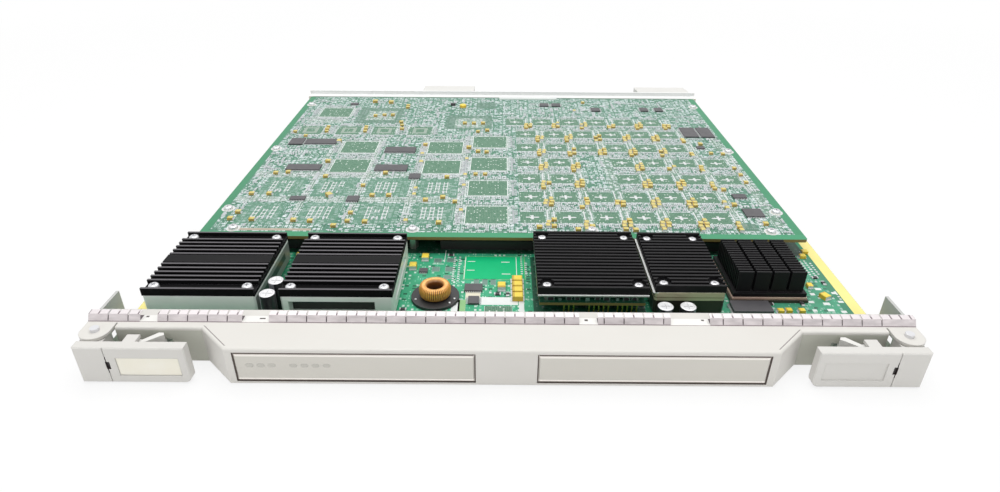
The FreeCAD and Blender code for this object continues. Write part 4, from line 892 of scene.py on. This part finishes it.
def tantalumCase(name, finish):
    _, deep, tall = tantalums["body"]
    foot = tantalums["terminalTall"] * mm
    endY = deep / 2 * mm
    bandY = endY - tantalums["band"] * mm
    cap = newBlock(name, tantalums["body"])
    bevelEdges(cap, atHeight(tall), tantalums["chamfer"], 1)
    splitAt(cap, (0, 0, foot), (0, 0, 1))
    growFaces(cap, lambda face: ends(1)(face) and face.calc_center_median().z < foot, tantalums["terminal"])
    splitAt(cap, (0, bandY, 0), (0, 1, 0))
    paintFaces(cap, [finish, "tantalumBand", "solderTin"],
               lambda face: 2 if abs(face.center.y) > endY else 1 if face.center.y > bandY else 0)
    return cap


besideCaps = []
for x, y in gridSpots:
    for acrossX, alongY in tantalums["besideField"]:
        if chance.random() < tantalums["besideShare"] and x + acrossX < tantalums["besideEnd"]:
            besideCaps.append((x + acrossX, y + alongY, chance.choice((0, 90)), tantalums["besideSize"]))
mezzCaps = tantalums["mezzanine"] + besideCaps
for name, finish, places, level in (("mainTantalums", "tantalumCase", tantalums["main"], boardTop),
                                    ("mezzanineTantalums", "tantalumGold", mezzCaps, mezzTop)):
    spread(name, tantalumCase(name + "Master", finish),
           [at(x, y, level, turn, (size, size, size)) for x, y, turn, size in places], "gold_pin")
print("tantalum capacitors placed:", len(tantalums["main"]) + len(mezzCaps))


# Single parts of the mezzanine: a white bus strip, a strip of tape, a small box and a round capacitor

mezzParts = {"busStrip": (24.5, 365.6, 55, 2.4, 1.3, "silkWhite", "white_plastic"),
             "tapeStrip": (-139.5, 99.4, 44, 2.8, 0.06, "plainTape", "label_paper"),
             "smallBox": (-46, 346, 4.4, 3.4, 2.0, "blackPlastic", "black_plastic")}
roundPart = {"place": (-36.5, 341), "radius": 3.0, "tall": 2.6, "edge": 0.7, "rim": 0.4, "boxEdge": 0.25}
for name, (x, y, wide, deep, tall, finish, slot) in mezzParts.items():
    piece = newBlock(name, (wide, deep, tall), (x, y, mezzTop + tall / 2))
    bevelEdges(piece, atHeight(mezzTop + tall), min(roundPart["boxEdge"], tall / 2), 2)
    paintFaces(piece, [finish])
    setDown(piece, slot)
piece = newRound("roundCapacitor", roundPart["radius"], roundPart["tall"], 24, (*roundPart["place"], mezzTop))
bevelEdges(piece, atHeight(mezzTop + roundPart["tall"]), roundPart["edge"], 3)
insetFaces(piece, facing(z=1, least=0.999), roundPart["rim"])
paintFaces(piece, ["tantalumCase"])
setDown(piece, "gold_pin")
print("single parts of the mezzanine set")


# Rows of lands and ceramic chip parts round the via fields, and resistor packs in blocks of columns

padCombs = {"land": (0.5, 1.6, 0.05), "rim": 0.08, "pitch": 0.95, "gap": 1.2, "missing": 0.06, "reach": 0.3,
            "room": 0.8}
laneLands = {"land": (0.6, 1.25, 0.05), "rim": 0.08, "pitch": 1.75, "across": 1.6, "missing": 0.2, "reach": 0.5,
             "room": 1.1, "besideField": (8.0, 15.7, -19.5, 11.0)}
chipParts = {"body": (0.9, 0.75, 0.55), "end": 0.3, "pitch": 1.25, "rows": [(3.0, 0.15), (4.7, 0.4), (6.4, 0.45)],
             "sidePitch": 1.5, "sideRows": [(3.2, 0.1), (5.0, 0.5)], "reach": 0.7, "room": 1.15,
             "zones": [((-178.5, -160, 102, 330), 60), ((-178, 178, 97, 361), 620)], "runLength": (3, 9),
             "runSizes": (1, 1, 1.3, 1.7), "runMissing": 0.1, "runRoom": 0.45}
ladderLands = {"bar": (1.7, 0.7, 0.06), "rail": 0.7, "reach": 1.5, "columns": 3, "rows": 4, "pitch": (5.4, 4.5),
               "missing": 0.06}
resistorPacks = {"body": (1.1, 2.4, 0.5), "end": 0.5, "chamfer": 0.1, "columns": 4, "rows": 1, "pitch": (3.2, 5.0),
                 "missing": 0.3, "shift": -8.6,
                 "blocks": [(-154, 163), (-118, 162), (-81, 162), (-45, 162), (-153.5, 123), (-118, 123), (-81, 123),
                            (-45.5, 123)]}
# what the small parts keep clear of: half widths, and margins round other pieces
keepOff = {"cap": 1.7, "rails": (9.0, 14.8, -3.4, 9.4), "part": 0.6, "chip": 1.4, "fieldX": 2.6, "fieldY": 7}


def blockSpots(piece, shift=0.0):
    # a block of rows and columns over every place in the list, a few left out
    spots = []
    pitchX, pitchY = piece["pitch"]
    for x, y in resistorPacks["blocks"]:
        for column in range(piece["columns"]):
            for row in range(piece["rows"]):
                if chance.random() > piece["missing"]:
                    spots.append(at(x + (column - (piece["columns"] - 1) / 2) * pitchX,
                                    y + shift + (row - (piece["rows"] - 1) / 2) * pitchY, mezzTop))
    return spots


packSpots = blockSpots(resistorPacks, resistorPacks["shift"])
ladderSpots = blockSpots(ladderLands)


def around(x, y, reachX, reachY):
    return x - reachX, x + reachX, y - reachY, y + reachY


def beside(limits):
    # the same limits beside every field of the grid
    x0, x1, y0, y1 = limits
    return [(x + x0, x + x1, y + y0, y + y1) for x, y in gridSpots]


margin = keepOff["part"]
taken = [around(x, y, w / 2, d / 2) for x, y, w, d in fieldSizes]
taken += [around(x, y, keepOff["cap"] * size, keepOff["cap"] * size) for x, y, _, size in mezzCaps]
taken += mezzAreas["calm"] + mezzAreas["framed"] + beside(keepOff["rails"])
taken += [around(x, y, w / 2 + margin, d / 2 + margin) for x, y, w, d, *_ in mezzParts.values()]
taken += [around(*roundPart["place"], roundPart["radius"] + margin, roundPart["radius"] + margin)]
for node in ("mezzanine_memory_chips", "mezzanine_logic_chips", "mezzanine_screws"):
    taken += [(low.x - keepOff["chip"], high.x + keepOff["chip"], low.y - keepOff["chip"], high.y + keepOff["chip"])
              for low, high in islandBoxes(node)]


def free(x, y, reach):
    return not any(x0 - reach < x < x1 + reach and y0 - reach < y < y1 + reach for x0, x1, y0, y1 in taken)


def rowSpots(start, step, count, turn, missing, reach, size=1.0):
    spots = [(start[0] + i * step[0], start[1] + i * step[1]) for i in range(count) if chance.random() > missing]
    return [at(x, y, mezzTop, turn, (size, size, 1)) for x, y in spots if free(x, y, reach)]


def ringRows(rows, pitch, endRows, endPitch, turn, reach):
    # rows along the front and rear of every field, then along the two sides of those off the grid
    spots = []
    for x, y, w, d in fieldSizes:
        across = int(w / pitch)
        along = int(d / endPitch) if (w, d) != viaFields["gridSize"] else -1
        for side in (-1, 1):
            for gap, missing in rows:
                spots += rowSpots((x - across * pitch / 2, y + side * (d / 2 + gap)), (pitch, 0), across + 1, turn,
                                  missing, reach)
            for gap, missing in endRows:
                spots += rowSpots((x + side * (w / 2 + gap), y - along * endPitch / 2), (0, endPitch), along + 1,
                                  turn + 90, missing, reach)
    return spots


def spaced(spots, room):
    # leaves out a spot that would stand in one already set
    kept = []
    cells = {}
    for spot in spots:
        x, y = spot[0][:2]
        column, row = int(x // room), int(y // room)
        near = [other for i in (-1, 0, 1) for j in (-1, 0, 1) for other in cells.get((column + i, row + j), [])]
        if all(abs(x - otherX) > room or abs(y - otherY) > room for otherX, otherY in near):
            cells.setdefault((column, row), []).append((x, y))
            kept.append(spot)
    return kept


combRows = [(padCombs["gap"], padCombs["missing"])]
combSpots = ringRows(combRows, padCombs["pitch"], combRows, padCombs["pitch"], 0, padCombs["reach"])
combSpots = spaced(combSpots, padCombs["room"])
spread("padCombs", land("combMaster", padCombs["land"], padCombs["rim"]), combSpots, "mezzanine_laminate")

# lines of small lands fill the pale lanes
laneSpots = []
for x0, x1, y0, y1 in mezzAreas["lanes"] + beside(laneLands["besideField"]):
    upright = y1 - y0 > x1 - x0
    wide, long = (x1 - x0, y1 - y0) if upright else (y1 - y0, x1 - x0)
    pitch = laneLands["pitch"]
    for line in range(int(wide / laneLands["across"])):
        shift = (line + 0.5) * laneLands["across"]
        start, step = ((x0 + shift, y0), (0, pitch)) if upright else ((x0, y0 + shift), (pitch, 0))
        laneSpots += rowSpots(start, step, int(long / pitch), 0 if upright else 90, laneLands["missing"],
                              laneLands["reach"])
spread("laneLands", land("laneMaster", laneLands["land"], laneLands["rim"]), spaced(laneSpots, laneLands["room"]),
       "mezzanine_laminate")

ladder = newBlock("ladderMaster", ladderLands["bar"])
barEnd = ladderLands["bar"][0] / 2 * mm
growFaces(ladder, ends(0), ladderLands["rail"])
growFaces(ladder, lambda face: ends(1)(face) and abs(face.calc_center_median().x) > barEnd, ladderLands["reach"])
paintFaces(ladder, ["solderTin"])
spread("ladderLands", ladder, ladderSpots, "mezzanine_laminate")

chipSpots = ringRows(chipParts["rows"], chipParts["pitch"], chipParts["sideRows"], chipParts["sidePitch"], 90,
                     chipParts["reach"])
chipSpots = spaced(chipSpots, chipParts["room"])
taken += [around(x, y, w / 2 + keepOff["fieldX"], d / 2 + keepOff["fieldY"]) for x, y, w, d in fieldSizes]
for (lowX, highX, lowY, highY), runs in chipParts["zones"]:
    for _ in range(runs):
        x, y = chance.uniform(lowX, highX), chance.uniform(lowY, highY)
        count = chance.randint(*chipParts["runLength"])
        size = chance.choice(chipParts["runSizes"])
        pitch = chipParts["pitch"] * size
        step = (pitch, 0) if chance.random() < 0.5 else (0, pitch)
        run = rowSpots((x, y), step, count, 90 if step[0] else 0, chipParts["runMissing"], size, size)
        run = [spot for spot in run if lowX < spot[0][0] < highX and lowY < spot[0][1] < highY]
        room = chipParts["runRoom"] * size
        taken += [around(*spot[0][:2], room, room) for spot in run]
        chipSpots += run
spread("ceramicChips", cappedPart("chipMaster", chipParts["body"], chipParts["end"], "ceramicBody"), chipSpots,
       "white_plastic")
pack = cappedPart("packMaster", resistorPacks["body"], resistorPacks["end"], "ceramicBody", axis=1,
                  chamfer=resistorPacks["chamfer"])
spread("resistorPacks", pack, packSpots, "white_plastic")
print("lands, chip parts and packs placed:", len(combSpots), len(chipSpots), len(packSpots))


# Gull-wing leads on the chips that show: two rows, or four on the tall chip

chipLeads = {"width": 0.4, "root": 0.35, "slope": 0.2, "foot": 0.7, "thick": 0.15, "rise": 0.5, "pitch": 0.95,
             "inset": 0.8, "tallChip": 2, "turns": {(0, -1): 180, (0, 1): 0, (-1, 0): 90, (1, 0): -90}}
lead = newBlock("leadMaster", (chipLeads["width"], chipLeads["root"], chipLeads["thick"]),
                (0, chipLeads["root"] / 2, chipLeads["rise"]))
pushFaces(lead, facing(y=1), (0, chipLeads["slope"], chipLeads["thick"] / 2 - chipLeads["rise"]))
pushFaces(lead, facing(y=1, least=0.5), (0, chipLeads["foot"], 0))
paintFaces(lead, ["solderTin"])
leadSpots = []
for node in ("main_chips", "mezzanine_memory_chips", "mezzanine_logic_chips"):
    for low, high in islandBoxes(node):
        span = high - low
        middle = (low + high) / 2
        for (sideX, sideY), turn in chipLeads["turns"].items():
            if span.z <= chipLeads["tallChip"] and bool(sideY) != (span.x >= span.y):
                continue
            length = (span.y if sideX else span.x) - 2 * chipLeads["inset"]
            count = max(2, int(length / chipLeads["pitch"]) + 1)
            for i in range(count):
                away = (i / (count - 1) - 0.5) * length
                leadSpots.append(at(middle.x + (sideX * span.x / 2 if sideX else away),
                                    middle.y + (sideY * span.y / 2 if sideY else away), low.z, turn))
spread("chipLeads", lead, leadSpots, "screw_steel")
print("chip leads formed:", len(leadSpots))


# Screws with a cross recess

def panScrew(name, sizes):
    radius, height, recess = sizes["radius"], sizes["height"], sizes["recess"]
    head = newRound(name, radius, height)
    bevelEdges(head, atHeight(height), height * 0.55, 3)
    cross = plusBlock(name + "Cross", recess * 0.45, recess * 0.75, recess * 0.75, height * 1.2)
    for vert in cross.data.vertices:
        vert.co.z += height * 1.15 * mm
    cutOut(head, cross)
    paintFaces(head, ["screwSteel"])
    return head


sinkScrews = {"radius": 2.7, "height": 2.2, "recess": 1.4, "base": 2.0, "sunk": (0.85, 0.85, 0.55),
              "insets": {"converter_1_heatsink": (4.9, 4.65), "converter_2_heatsink": (4.9, 4.65),
                         "converter_3_heatsink": (5.0, 5.0), "converter_4_heatsink": (5.0, 5.0)}}
screwSpots = []
for node, (insetX, insetY) in sinkScrews["insets"].items():
    low, high = boxOf(node)
    size = sinkScrews["sunk"] if insetX == insetY else plain
    for x in (low.x + insetX, high.x - insetX):
        for y in (low.y + insetY, high.y - insetY):
            screwSpots.append(at(x, y, low.z + sinkScrews["base"], chance.uniform(0, 90), size))
spread("heatSinkScrews", panScrew("sinkScrew", sinkScrews), screwSpots, "screw_steel")

boardScrews = {"radius": 2.8, "height": 2.0, "recess": 1.5, "shank": 1.5, "ring": 4.3, "ringInner": 2.9, "lift": 0.04}
mezzScrews = islandBoxes("mezzanine_screws")
headSpots = [at((low.x + high.x) / 2, (low.y + high.y) / 2, high.z - boardScrews["height"], chance.uniform(0, 90))
             for low, high in mezzScrews]
screw = panScrew("mezzScrew", boardScrews)
shankLong = mezzScrews[0][1].z - mezzScrews[0][0].z - boardScrews["height"]
insetFaces(screw, facing(z=-1), boardScrews["radius"] - boardScrews["shank"])
pushFaces(screw, lambda face: facing(z=-1)(face) and face.calc_center_median().xy.length < 0.1 * mm
          and face.calc_area() < 8 * mm * mm, (0, 0, -shankLong))
spread("mezzanineScrewSet", screw, headSpots, "screw_steel", instead="mezzanine_screws")

ring = newRound("ringMaster", boardScrews["ring"], boardScrews["lift"], 32)
insetFaces(ring, facing(z=1), boardScrews["ring"] - boardScrews["ringInner"])
paintFaces(ring, ["bareEdge", "solderTin"], lambda face: int(face.normal.z > 0.9 and len(face.vertices) == 4))
spread("groundRings", ring, [at(*spot[:2], mezzTop) for spot, _, _ in headSpots], "screw_steel")
print("screws and ground rings set")


# Wound choke on its base

woundChoke = {"turns": 46, "wire": 0.41, "loopSides": 18, "wireSides": 6, "inner": 3.9, "squareness": 2.4,
              "core": 0.75, "coreTall": 0.85, "coreSides": (36, 10), "drawn": 0.1,
              "pin": 0.6, "pinHeight": 0.5, "pinEdge": 0.2, "pinReach": 11.2, "pinTurns": (112, 203, 318, 342)}
low, high = boxOf("choke_winding")
middle = (low + high) / 2
loopHalf = ((high.x - low.x) / 2 - woundChoke["inner"]) / 2
loopMiddle = woundChoke["inner"] + loopHalf
rise = (high.z - low.z) / 2
strand, power, drawn = woundChoke["wire"], woundChoke["squareness"], woundChoke["drawn"]
deselect()
bpy.ops.mesh.primitive_torus_add(major_radius=mm, minor_radius=drawn * mm, major_segments=woundChoke["loopSides"],
                                 minor_segments=woundChoke["wireSides"])
loop = named("loopMaster")
for vert in loop.data.vertices:
    # a ring drawn at unit size becomes one squarish loop of wire
    angle = math.atan2(vert.co.y, vert.co.x)
    cosine, sine = math.cos(angle), math.sin(angle)
    out = (vert.co.xy.length / mm - 1) / drawn * strand
    square = 1 / max(abs(cosine) ** power + abs(sine) ** power, 1e-9) ** (1 / power)
    across = (loopHalf - strand) * square * cosine + out * cosine
    up = (rise - strand) * square * sine + out * sine
    vert.co = Vector((loopMiddle + across, vert.co.z / mm / drawn * strand, up)) * mm
paintFaces(loop, ["copperWire"])
turns = woundChoke["turns"]
spread("chokeWinding", loop, [at(*middle, i * 360 / turns) for i in range(turns)], "copper_wire",
       instead="choke_winding", smooth=60)

coreHalf = loopHalf * woundChoke["core"]
deselect()
bpy.ops.mesh.primitive_torus_add(major_radius=loopMiddle * mm, minor_radius=coreHalf * mm, location=middle * mm,
                                 major_segments=woundChoke["coreSides"][0], minor_segments=woundChoke["coreSides"][1])
core = named("chokeCore")
for vert in core.data.vertices:
    vert.co.z = middle.z * mm + (vert.co.z - middle.z * mm) * rise * woundChoke["coreTall"] / coreHalf
pick(core, "FACE", anything)
bpy.ops.mesh.normals_make_consistent(inside=False)
leave()
paintFaces(core, ["windingCore"])
setDown(core, "black_plastic", smooth=60)

pin = newRound("pinMaster", woundChoke["pin"], woundChoke["pinHeight"], 12)
bevelEdges(pin, atHeight(woundChoke["pinHeight"]), woundChoke["pinEdge"], 2)
paintFaces(pin, ["solderTin"])
baseTop = boxOf("choke_base")[1].z
spread("chokePins", pin, [at(middle.x + woundChoke["pinReach"] * math.cos(math.radians(turn)),
                             middle.y + woundChoke["pinReach"] * math.sin(math.radians(turn)), baseTop)
                          for turn in woundChoke["pinTurns"]], "screw_steel")
print("choke wound:", turns, "turns")


# Electrolytic cans with sleeve, stripe and scored top

cans = {"sides": 28, "rim": 0.5, "lip": 0.2, "dish": 0.25, "stripe": 0.92, "score": 0.35, "scoreReach": 0.55,
        "scoreTall": 0.4, "scoreRise": 0.05, "firstStripe": -150, "stripeStep": 35}


def canFaces(number):
    turn = math.radians(cans["firstStripe"] + cans["stripeStep"] * number)
    stripeWay = Vector((math.cos(turn), math.sin(turn)))

    def choose(face):
        if abs(face.normal.z) > 0.3:
            return 0
        return 2 if face.normal.xy.normalized().dot(stripeWay) > cans["stripe"] else 1

    return choose


canPieces = []
for number, (low, high) in enumerate(islandBoxes("electrolytic_capacitors")):
    middle = (low + high) / 2
    radius = (high.x - low.x) / 2
    can = newRound("can%d" % number, radius, high.z - low.z, cans["sides"], (middle.x, middle.y, low.z))
    bevelEdges(can, atHeight(high.z), cans["rim"], 3)
    insetFaces(can, facing(z=1, least=0.999), cans["rim"])
    insetFaces(can, lambda face: face.normal.z > 0.999 and len(face.verts) > 8, cans["lip"], -cans["dish"])
    reach = radius * cans["scoreReach"]
    score = plusBlock("canScore", cans["score"], reach, reach, cans["scoreTall"])
    for vert in score.data.vertices:
        vert.co += Vector((middle.x, middle.y, high.z - cans["dish"] + cans["scoreRise"])) * mm
    cutOut(can, score)
    paintFaces(can, ["canAluminium", "canSleeve", "canStripe"], canFaces(number))
    canPieces.append(can)
setDown(joinUp("electrolyticCans", canPieces), "can_aluminium", instead="electrolytic_capacitors")
print("cans sleeved:", len(canPieces))


# Print and bare areas of the main board: finishes of the field and its rim, then centres and sizes

boardPrint = {
    "lift": 0.04, "rim": 0.012,
    "bareBoardEdges": ("bareEdge", "bareEdge", [(-191.3, 202, 6.2, 364), (191.3, 202, 6.2, 364)]),
    "bareBoardArea": ("bareMask", "paleMask", [(-4.4, 75.6, 36, 26)]),
    "whiteLands": ("silkWhite", "silkWhite", [
        (-1.7, 40.8, 20.8, 7.4), (-25.1, 36, 4.4, 14), (10.6, 36.5, 2.8, 15), (173.4, 49.8, 2.6, 2.2),
        (178.6, 55, 3.4, 2.2), (177.4, 40.4, 3.6, 2.4), (177.2, 34.4, 3.6, 2.2), (186, 42.4, 3, 2), (183.6, 33, 3, 2),
        (186, 51, 3, 2), (169.6, 42, 3, 2), (168.4, 34, 2.4, 2)]),
    "creamLands": ("silkCream", "silkWhite", [(-16.1, 46.2, 8.2, 8.0)]),
    "paleLands": ("paleMask", "silkWhite", [(-21.8, 35.4, 4.2, 12.8)]),
    "greyLands": ("viaMask", "silkWhite", [(-2, 32.8, 15, 6.4)]),
    "tinnedLands": ("tinnedLand", "silkWhite", [
        (-38.6, 83.4, 4.6, 4.8), (-30.9, 84, 4.6, 4.8), (-39, 73.6, 4.6, 5.2), (-31.2, 73.6, 4.6, 5.2),
        (-31.6, 65, 4.4, 4.2), (-14.6, 60, 3, 6), (-9.8, 60, 3, 6), (-5, 60, 3, 6)]),
    "silkLines": ("silkWhite", "silkWhite", [
        (-21.9, 75.6, 0.4, 25), (8.5, 75.6, 0.4, 25), (-18.4, 82.6, 4.6, 0.6), (-18.4, 72.6, 4.6, 0.6),
        (2, 82, 5, 0.7), (2.4, 68.6, 5, 0.7), (-34.5, 88.6, 0.4, 14), (-38, 79.4, 7, 0.4)]),
}
lift = boardPrint.pop("lift")
rim = boardPrint.pop("rim")
for name, (field, rimFinish, spots) in boardPrint.items():
    piece = spread(name, land(name + "Master", (1, 1, lift), rim, field, rimFinish),
                   [at(x, y, boardTop, 0, (w, d, 1)) for x, y, w, d in spots], "main_laminate")
# the last of them, the silk lines, lie over the others
for vert in piece.data.vertices:
    if vert.co.z > (boardTop + lift / 2) * mm:
        vert.co.z += lift * mm

padColumns = {"size": (1.2, 1.1, 0.1), "rim": 0.15, "pitch": 2.4,
              "columns": [(-28.4, 61, 12), (-25.4, 61, 12), (11.6, 69, 9), (14, 69, 6), (177.6, 70, 7), (180.2, 68, 8),
                          (182.8, 69, 8), (185.4, 71, 6), (171.6, 61, 3), (187, 45, 4)]}
spread("padColumns", land("dotMaster", padColumns["size"], padColumns["rim"]),
       [at(x, y + i * padColumns["pitch"], boardTop) for x, y, count in padColumns["columns"] for i in range(count)],
       "main_laminate")

mainParts = {"body": (2.6, 2.0, 0.9), "end": 0.6, "chamfer": 0.12,
             "places": [(-31, 89.4, 0), (-2.5, 47.2, 0), (3.2, 47, 90), (146, 39.2, 0), (163.6, 39.4, 90),
                        (184, 60.6, 90), (181.4, 66.6, 0), (-53, 32, 0), (-52, 28, 90), (-34, 29, 0)]}
resistor = cappedPart("mainPartMaster", mainParts["body"], mainParts["end"], "blackPlastic",
                      chamfer=mainParts["chamfer"])
spread("mainBoardParts", resistor, [at(x, y, boardTop, turn) for x, y, turn in mainParts["places"]], "chip_plastic")
print("board print laid")


# Cores and small parts on the open converter's board

brickParts = {"cores": [(36, 58, 22, 26), (61, 60, 18, 24)], "coreGap": 0.5, "coreEdge": 0.6, "foot": 1.6,
              "small": (2.2, 1.7, 1.5), "end": 0.4, "chamfer": 0.15,
              "places": [(25.6, 0, 1.3), (30.4, 90, 1), (35.2, 0, 1.1), (39.6, 0, 1), (44.8, 90, 1.3), (50.2, 0, 1),
                         (55, 0, 1.2), (60.6, 90, 1), (65.4, 0, 1.2), (69.6, 0, 1)], "row": 30.6}
boardLow, boardHigh = boxOf("converter_3_board")
plateLow = boxOf("converter_3_baseplate")[0].z
corePieces = []
for x, y, wide, deep in brickParts["cores"]:
    for low, high in ((boardHigh.z, plateLow - brickParts["coreGap"]), (boardTop + brickParts["foot"], boardLow.z)):
        core = newBlock("brickCore", (wide, deep, high - low), (x, y, (low + high) / 2))
        bevelEdges(core, anything, brickParts["coreEdge"], 2)
        corePieces.append(core)
cores = joinUp("brickCores", corePieces)
paintFaces(cores, ["ferrite"])
setDown(cores, "black_plastic")

small = cappedPart("smallMaster", brickParts["small"], brickParts["end"], "ferrite", "tinnedLand",
                   chamfer=brickParts["chamfer"])
spread("brickParts", small, [at(x, brickParts["row"], boardHigh.z, turn, (size, size, size))
                             for x, turn, size in brickParts["places"]], "white_plastic")
print("open converter filled")


# Bright lips of the plates under the two right-hand heat sinks: size and middle

caseLips = {"frontLip": ((57.6, 0.7, 0.5), (47.3, 25.65, 19.3)), "sideLip": ((1.0, 57.6, 0.5), (79.2, 57.35, 19.3))}
lipEdge = 0.12
for name, (size, middle) in caseLips.items():
    lip = newBlock(name, size, middle)
    bevelEdges(lip, atHeight(middle[2] + size[2] / 2), lipEdge, 1)
    paintFaces(lip, ["lipMetal"])
    setDown(lip, "case_metal")
print("lips laid under the heat sinks")


# Floor, light and camera, in metres; a lamp has its place, aim, size and power

studio = {"floorSize": 8.0, "floorDrop": 0.0002, "floorColour": (236, 236, 236), "floorGloss": 0.9,
          "shadowShare": 0.24, "shadowReach": 1.1, "skyForLight": 0.42,
          "lamps": {"overhead": ((0.0, 0.35, 1.3), (0.0, 0.15, 0.0), 1.5, 19.0),
                    "frontLeft": ((-0.9, -1.2, 0.7), (0.0, 0.0, 0.0), 1.1, 5.0),
                    "frontRight": ((0.9, -1.2, 0.7), (0.0, 0.0, 0.0), 1.1, 5.0)}}


def cameraRays(tree):
    path = put(tree, "LightPath")
    seen = maths(tree, "MAXIMUM", path.outputs["Is Camera Ray"], path.outputs["Is Glossy Ray"])
    return maths(tree, "MAXIMUM", seen, path.outputs["Is Transmission Ray"])


def makeFloor():
    deselect()
    bpy.ops.mesh.primitive_plane_add(size=studio["floorSize"], location=(0, 0, cadBox[0].z - studio["floorDrop"]))
    floor = named("floor")
    made = bpy.data.materials.new("studioFloor")
    made.use_nodes = True
    tree = made.node_tree
    shader = tree.nodes["Principled BSDF"]
    shader.inputs["Base Color"].default_value = tint(*studio["floorColour"])
    shader.inputs["Roughness"].default_value = studio["floorGloss"]
    shader.inputs["Specular IOR Level"].default_value = 0.0
    mixer = put(tree, "MixShader")
    away = maths(tree, "DIVIDE", awayFrom(tree, 0, 0), studio["shadowReach"])
    near = maths(tree, "MAXIMUM", maths(tree, "SUBTRACT", 1.0, away), 0.0)
    shown = maths(tree, "SUBTRACT", 1.0, times(tree, near, studio["shadowShare"]))
    wire(tree, times(tree, cameraRays(tree), shown), mixer.inputs[0])
    wire(tree, shader.outputs[0], mixer.inputs[1])
    wire(tree, put(tree, "Emission").outputs[0], mixer.inputs[2])
    wire(tree, mixer.outputs[0], tree.nodes["Material Output"].inputs["Surface"])
    floor.data.materials.append(made)


def makeLight():
    world = bpy.data.worlds.new("studio")
    bpy.context.scene.world = world
    world.use_nodes = True
    tree = world.node_tree
    sky = tree.nodes["Background"]
    sky.inputs["Color"].default_value = (1, 1, 1, 1)
    wire(tree, maths(tree, "MULTIPLY_ADD", cameraRays(tree), 1 - studio["skyForLight"], studio["skyForLight"]),
         sky.inputs["Strength"])
    for name, (place, aim, size, power) in studio["lamps"].items():
        lamp = bpy.data.lights.new(name, "AREA")
        lamp.shape = "SQUARE"
        lamp.size = size
        lamp.energy = power
        holder = bpy.data.objects.new(name, lamp)
        holder.location = place
        holder.rotation_euler = (Vector(aim) - Vector(place)).to_track_quat("-Z", "Y").to_euler()
        bpy.context.scene.collection.objects.link(holder)


# place in mm, turns in radians, focal length in pixels of the photo's width
photoCamera = {"place": (-1.286, -261.501, 211.673), "pitch": 0.517341, "roll": 0.0070963, "focal": 667.48,
               "imageWidth": 1000, "sensor": 36.0, "clip": (0.01, 50)}


def makeCamera():
    data = bpy.data.cameras.new("photoCamera")
    data.sensor_fit = "HORIZONTAL"
    data.sensor_width = photoCamera["sensor"]
    data.lens = photoCamera["focal"] / photoCamera["imageWidth"] * photoCamera["sensor"]
    data.clip_start, data.clip_end = photoCamera["clip"]
    camera = bpy.data.objects.new("photoCamera", data)
    bpy.context.scene.collection.objects.link(camera)
    pitch, roll = photoCamera["pitch"], photoCamera["roll"]
    forward = Vector((0, math.cos(pitch), -math.sin(pitch)))
    up = Vector((0, math.sin(pitch), math.cos(pitch)))
    right = Vector((1, 0, 0))
    right, up = (math.cos(roll) * right + math.sin(roll) * up, -math.sin(roll) * right + math.cos(roll) * up)
    turn = Matrix((right, up, -forward)).transposed()
    camera.matrix_world = Matrix.Translation(Vector(photoCamera["place"]) * mm) @ turn.to_4x4()
    bpy.context.scene.camera = camera


makeFloor()
makeLight()
makeCamera()
bpy.context.scene.view_settings.view_transform = "Standard"
print("floor, light and camera set")
